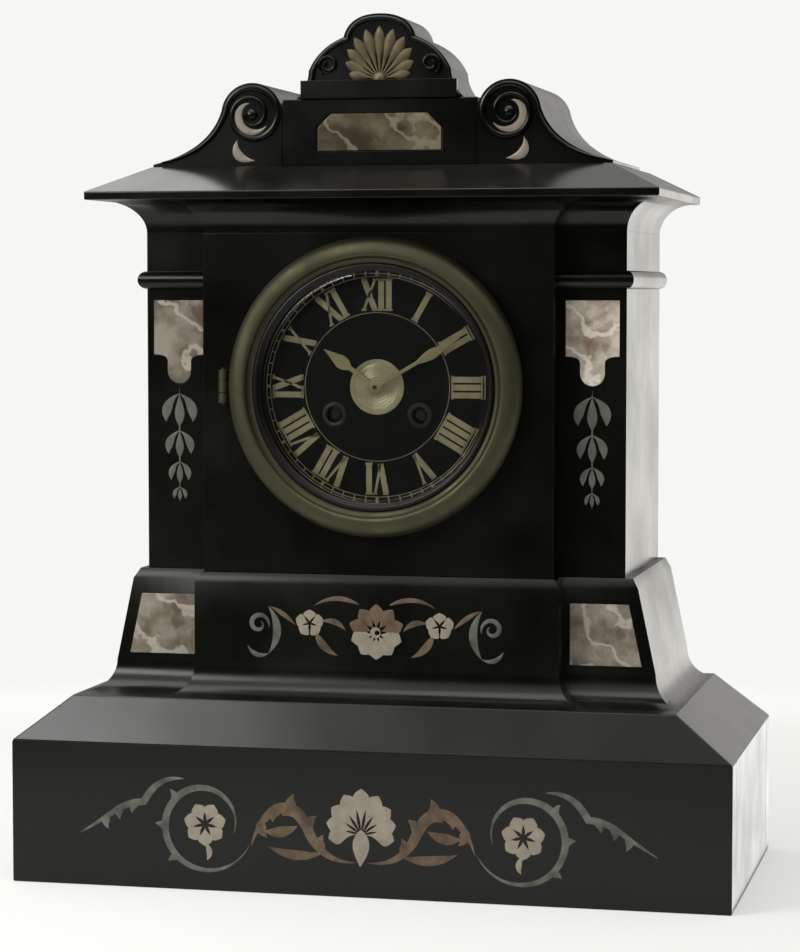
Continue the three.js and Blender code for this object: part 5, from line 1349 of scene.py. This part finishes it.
# %% [markdown]
# ## Lights
# Black stone shows mostly what it reflects, so the lamps are placed by reflection. The broad one
# overhead fills the slopes. The small ones put a streak on the left end of the plinth's cap and
# of the cornice, and a lamp that lies on the floor brightens the low right side, which looks past
# the clock at a bright table. Brightness is the lamp's radiance, so its power grows with its size.

# %% Lights
def softbox(name, place, target, width, height, brightness):
    """A rectangular lamp that faces a point, of a given brightness; the camera doesn't see it."""
    lamp = bpy.data.lights.new(name, "AREA")
    lamp.shape = "RECTANGLE"
    lamp.size, lamp.size_y = width, height
    lamp.energy = brightness * np.pi * width * height
    holder = bpy.data.objects.new(name, lamp)
    holder.location = place
    holder.rotation_euler = (Vector(target) - Vector(place)).to_track_quat("-Z", "Y").to_euler()
    holder.visible_camera = False
    bpy.context.scene.collection.objects.link(holder)
    return holder


softbox("overhead_light", (-0.2, -0.2, 1.7), (0, 0, 0.2), 1.6, 1.0, 2.4)
softbox("rear_top_light", (-0.64, 0.85, 1.5), (-0.1, 0, 0.35), 0.36, 0.4, 2.7)
softbox("front_left_light", (-1.5, -1.3, 1.3), (0, 0, 0.2), 0.9, 0.9, 4.8)
softbox("left_slope_light", (-0.56, -0.74, 0.66), (-0.22, -0.08, 0.09), 0.45, 0.3, 8.2)
softbox("bright_table", (0.517, 0.24, 0.001), (0.517, 0.24, 1.0), 0.666, 0.66, 1.15)
print("lamps:", len(bpy.data.lights))

# %% [markdown]
# ## Sky
# The room in front of the clock is dark and the wall behind it is bright, most of all along a low
# horizon on the right. Only reflections see this sky. The camera sees plain white instead, and
# diffuse surfaces take an even fill, so that the slate stays black and its shine keeps its shape.

# %% Sky
world = bpy.data.worlds.new("studio")
bpy.context.scene.world = world
world.use_nodes = True
sky = world.node_tree
sky.nodes.clear()
ray = add_node(sky, "ShaderNodeLightPath")
direction = add_node(sky, "ShaderNodeTexCoord").outputs["Generated"]
parts_of = add_node(sky, "ShaderNodeSeparateXYZ", links={0: direction})
behind = add_node(sky, "ShaderNodeMapRange", settings={"interpolation_type": "SMOOTHSTEP"},
                  values={"From Min": -0.05, "From Max": 0.5, "To Min": 0.045, "To Max": 1.0},
                  links={"Value": parts_of.outputs["Y"]})
above = add_node(sky, "ShaderNodeMapRange", settings={"interpolation_type": "SMOOTHSTEP"},
                 values={"From Min": 0.3, "From Max": 0.8, "To Min": 0.0, "To Max": 1.35},
                 links={"Value": parts_of.outputs["Z"]})
low_sky = add_node(sky, "ShaderNodeMapRange", settings={"interpolation_type": "SMOOTHSTEP"},
                   values={"From Min": 0.035, "From Max": 0.125, "To Min": 1.65, "To Max": 0.75},
                   links={"Value": parts_of.outputs["Z"]})
right_sky = add_node(sky, "ShaderNodeMapRange", settings={"interpolation_type": "SMOOTHSTEP"},
                     values={"From Min": -0.2, "From Max": 0.1, "To Min": 0.35, "To Max": 1.0},
                     links={"Value": parts_of.outputs["X"]})
low_right = add_node(sky, "ShaderNodeMath", settings={"operation": "MULTIPLY"},
                     links={0: low_sky.outputs["Result"], 1: right_sky.outputs["Result"]})
horizon = add_node(sky, "ShaderNodeMath", settings={"operation": "MULTIPLY"},
                   links={0: behind.outputs["Result"], 1: low_right.outputs["Value"]})
seen = add_node(sky, "ShaderNodeMath", settings={"operation": "MAXIMUM"},
                links={0: horizon.outputs["Value"], 1: above.outputs["Result"]})
mirrored_sky = add_node(sky, "ShaderNodeBackground", values={"Color": colour("#fffdf6")},
                        links={"Strength": seen.outputs["Value"]})
fill = add_node(sky, "ShaderNodeBackground", values={"Color": colour("#fafaf8"), "Strength": 0.5})
white = add_node(sky, "ShaderNodeBackground", values={"Color": colour("#f6f7f4"), "Strength": 1.0})
soft = add_node(sky, "ShaderNodeMixShader",
                links={0: ray.outputs["Is Diffuse Ray"], 1: mirrored_sky.outputs[0], 2: fill.outputs[0]})
through = add_node(sky, "ShaderNodeMixShader",
                   links={0: ray.outputs["Is Camera Ray"], 1: soft.outputs[0], 2: white.outputs[0]})
add_node(sky, "ShaderNodeOutputWorld", links={"Surface": through.outputs[0]})
bpy.context.scene.view_settings.view_transform = "Standard"
print("sky ready:", len(sky.nodes), "nodes")
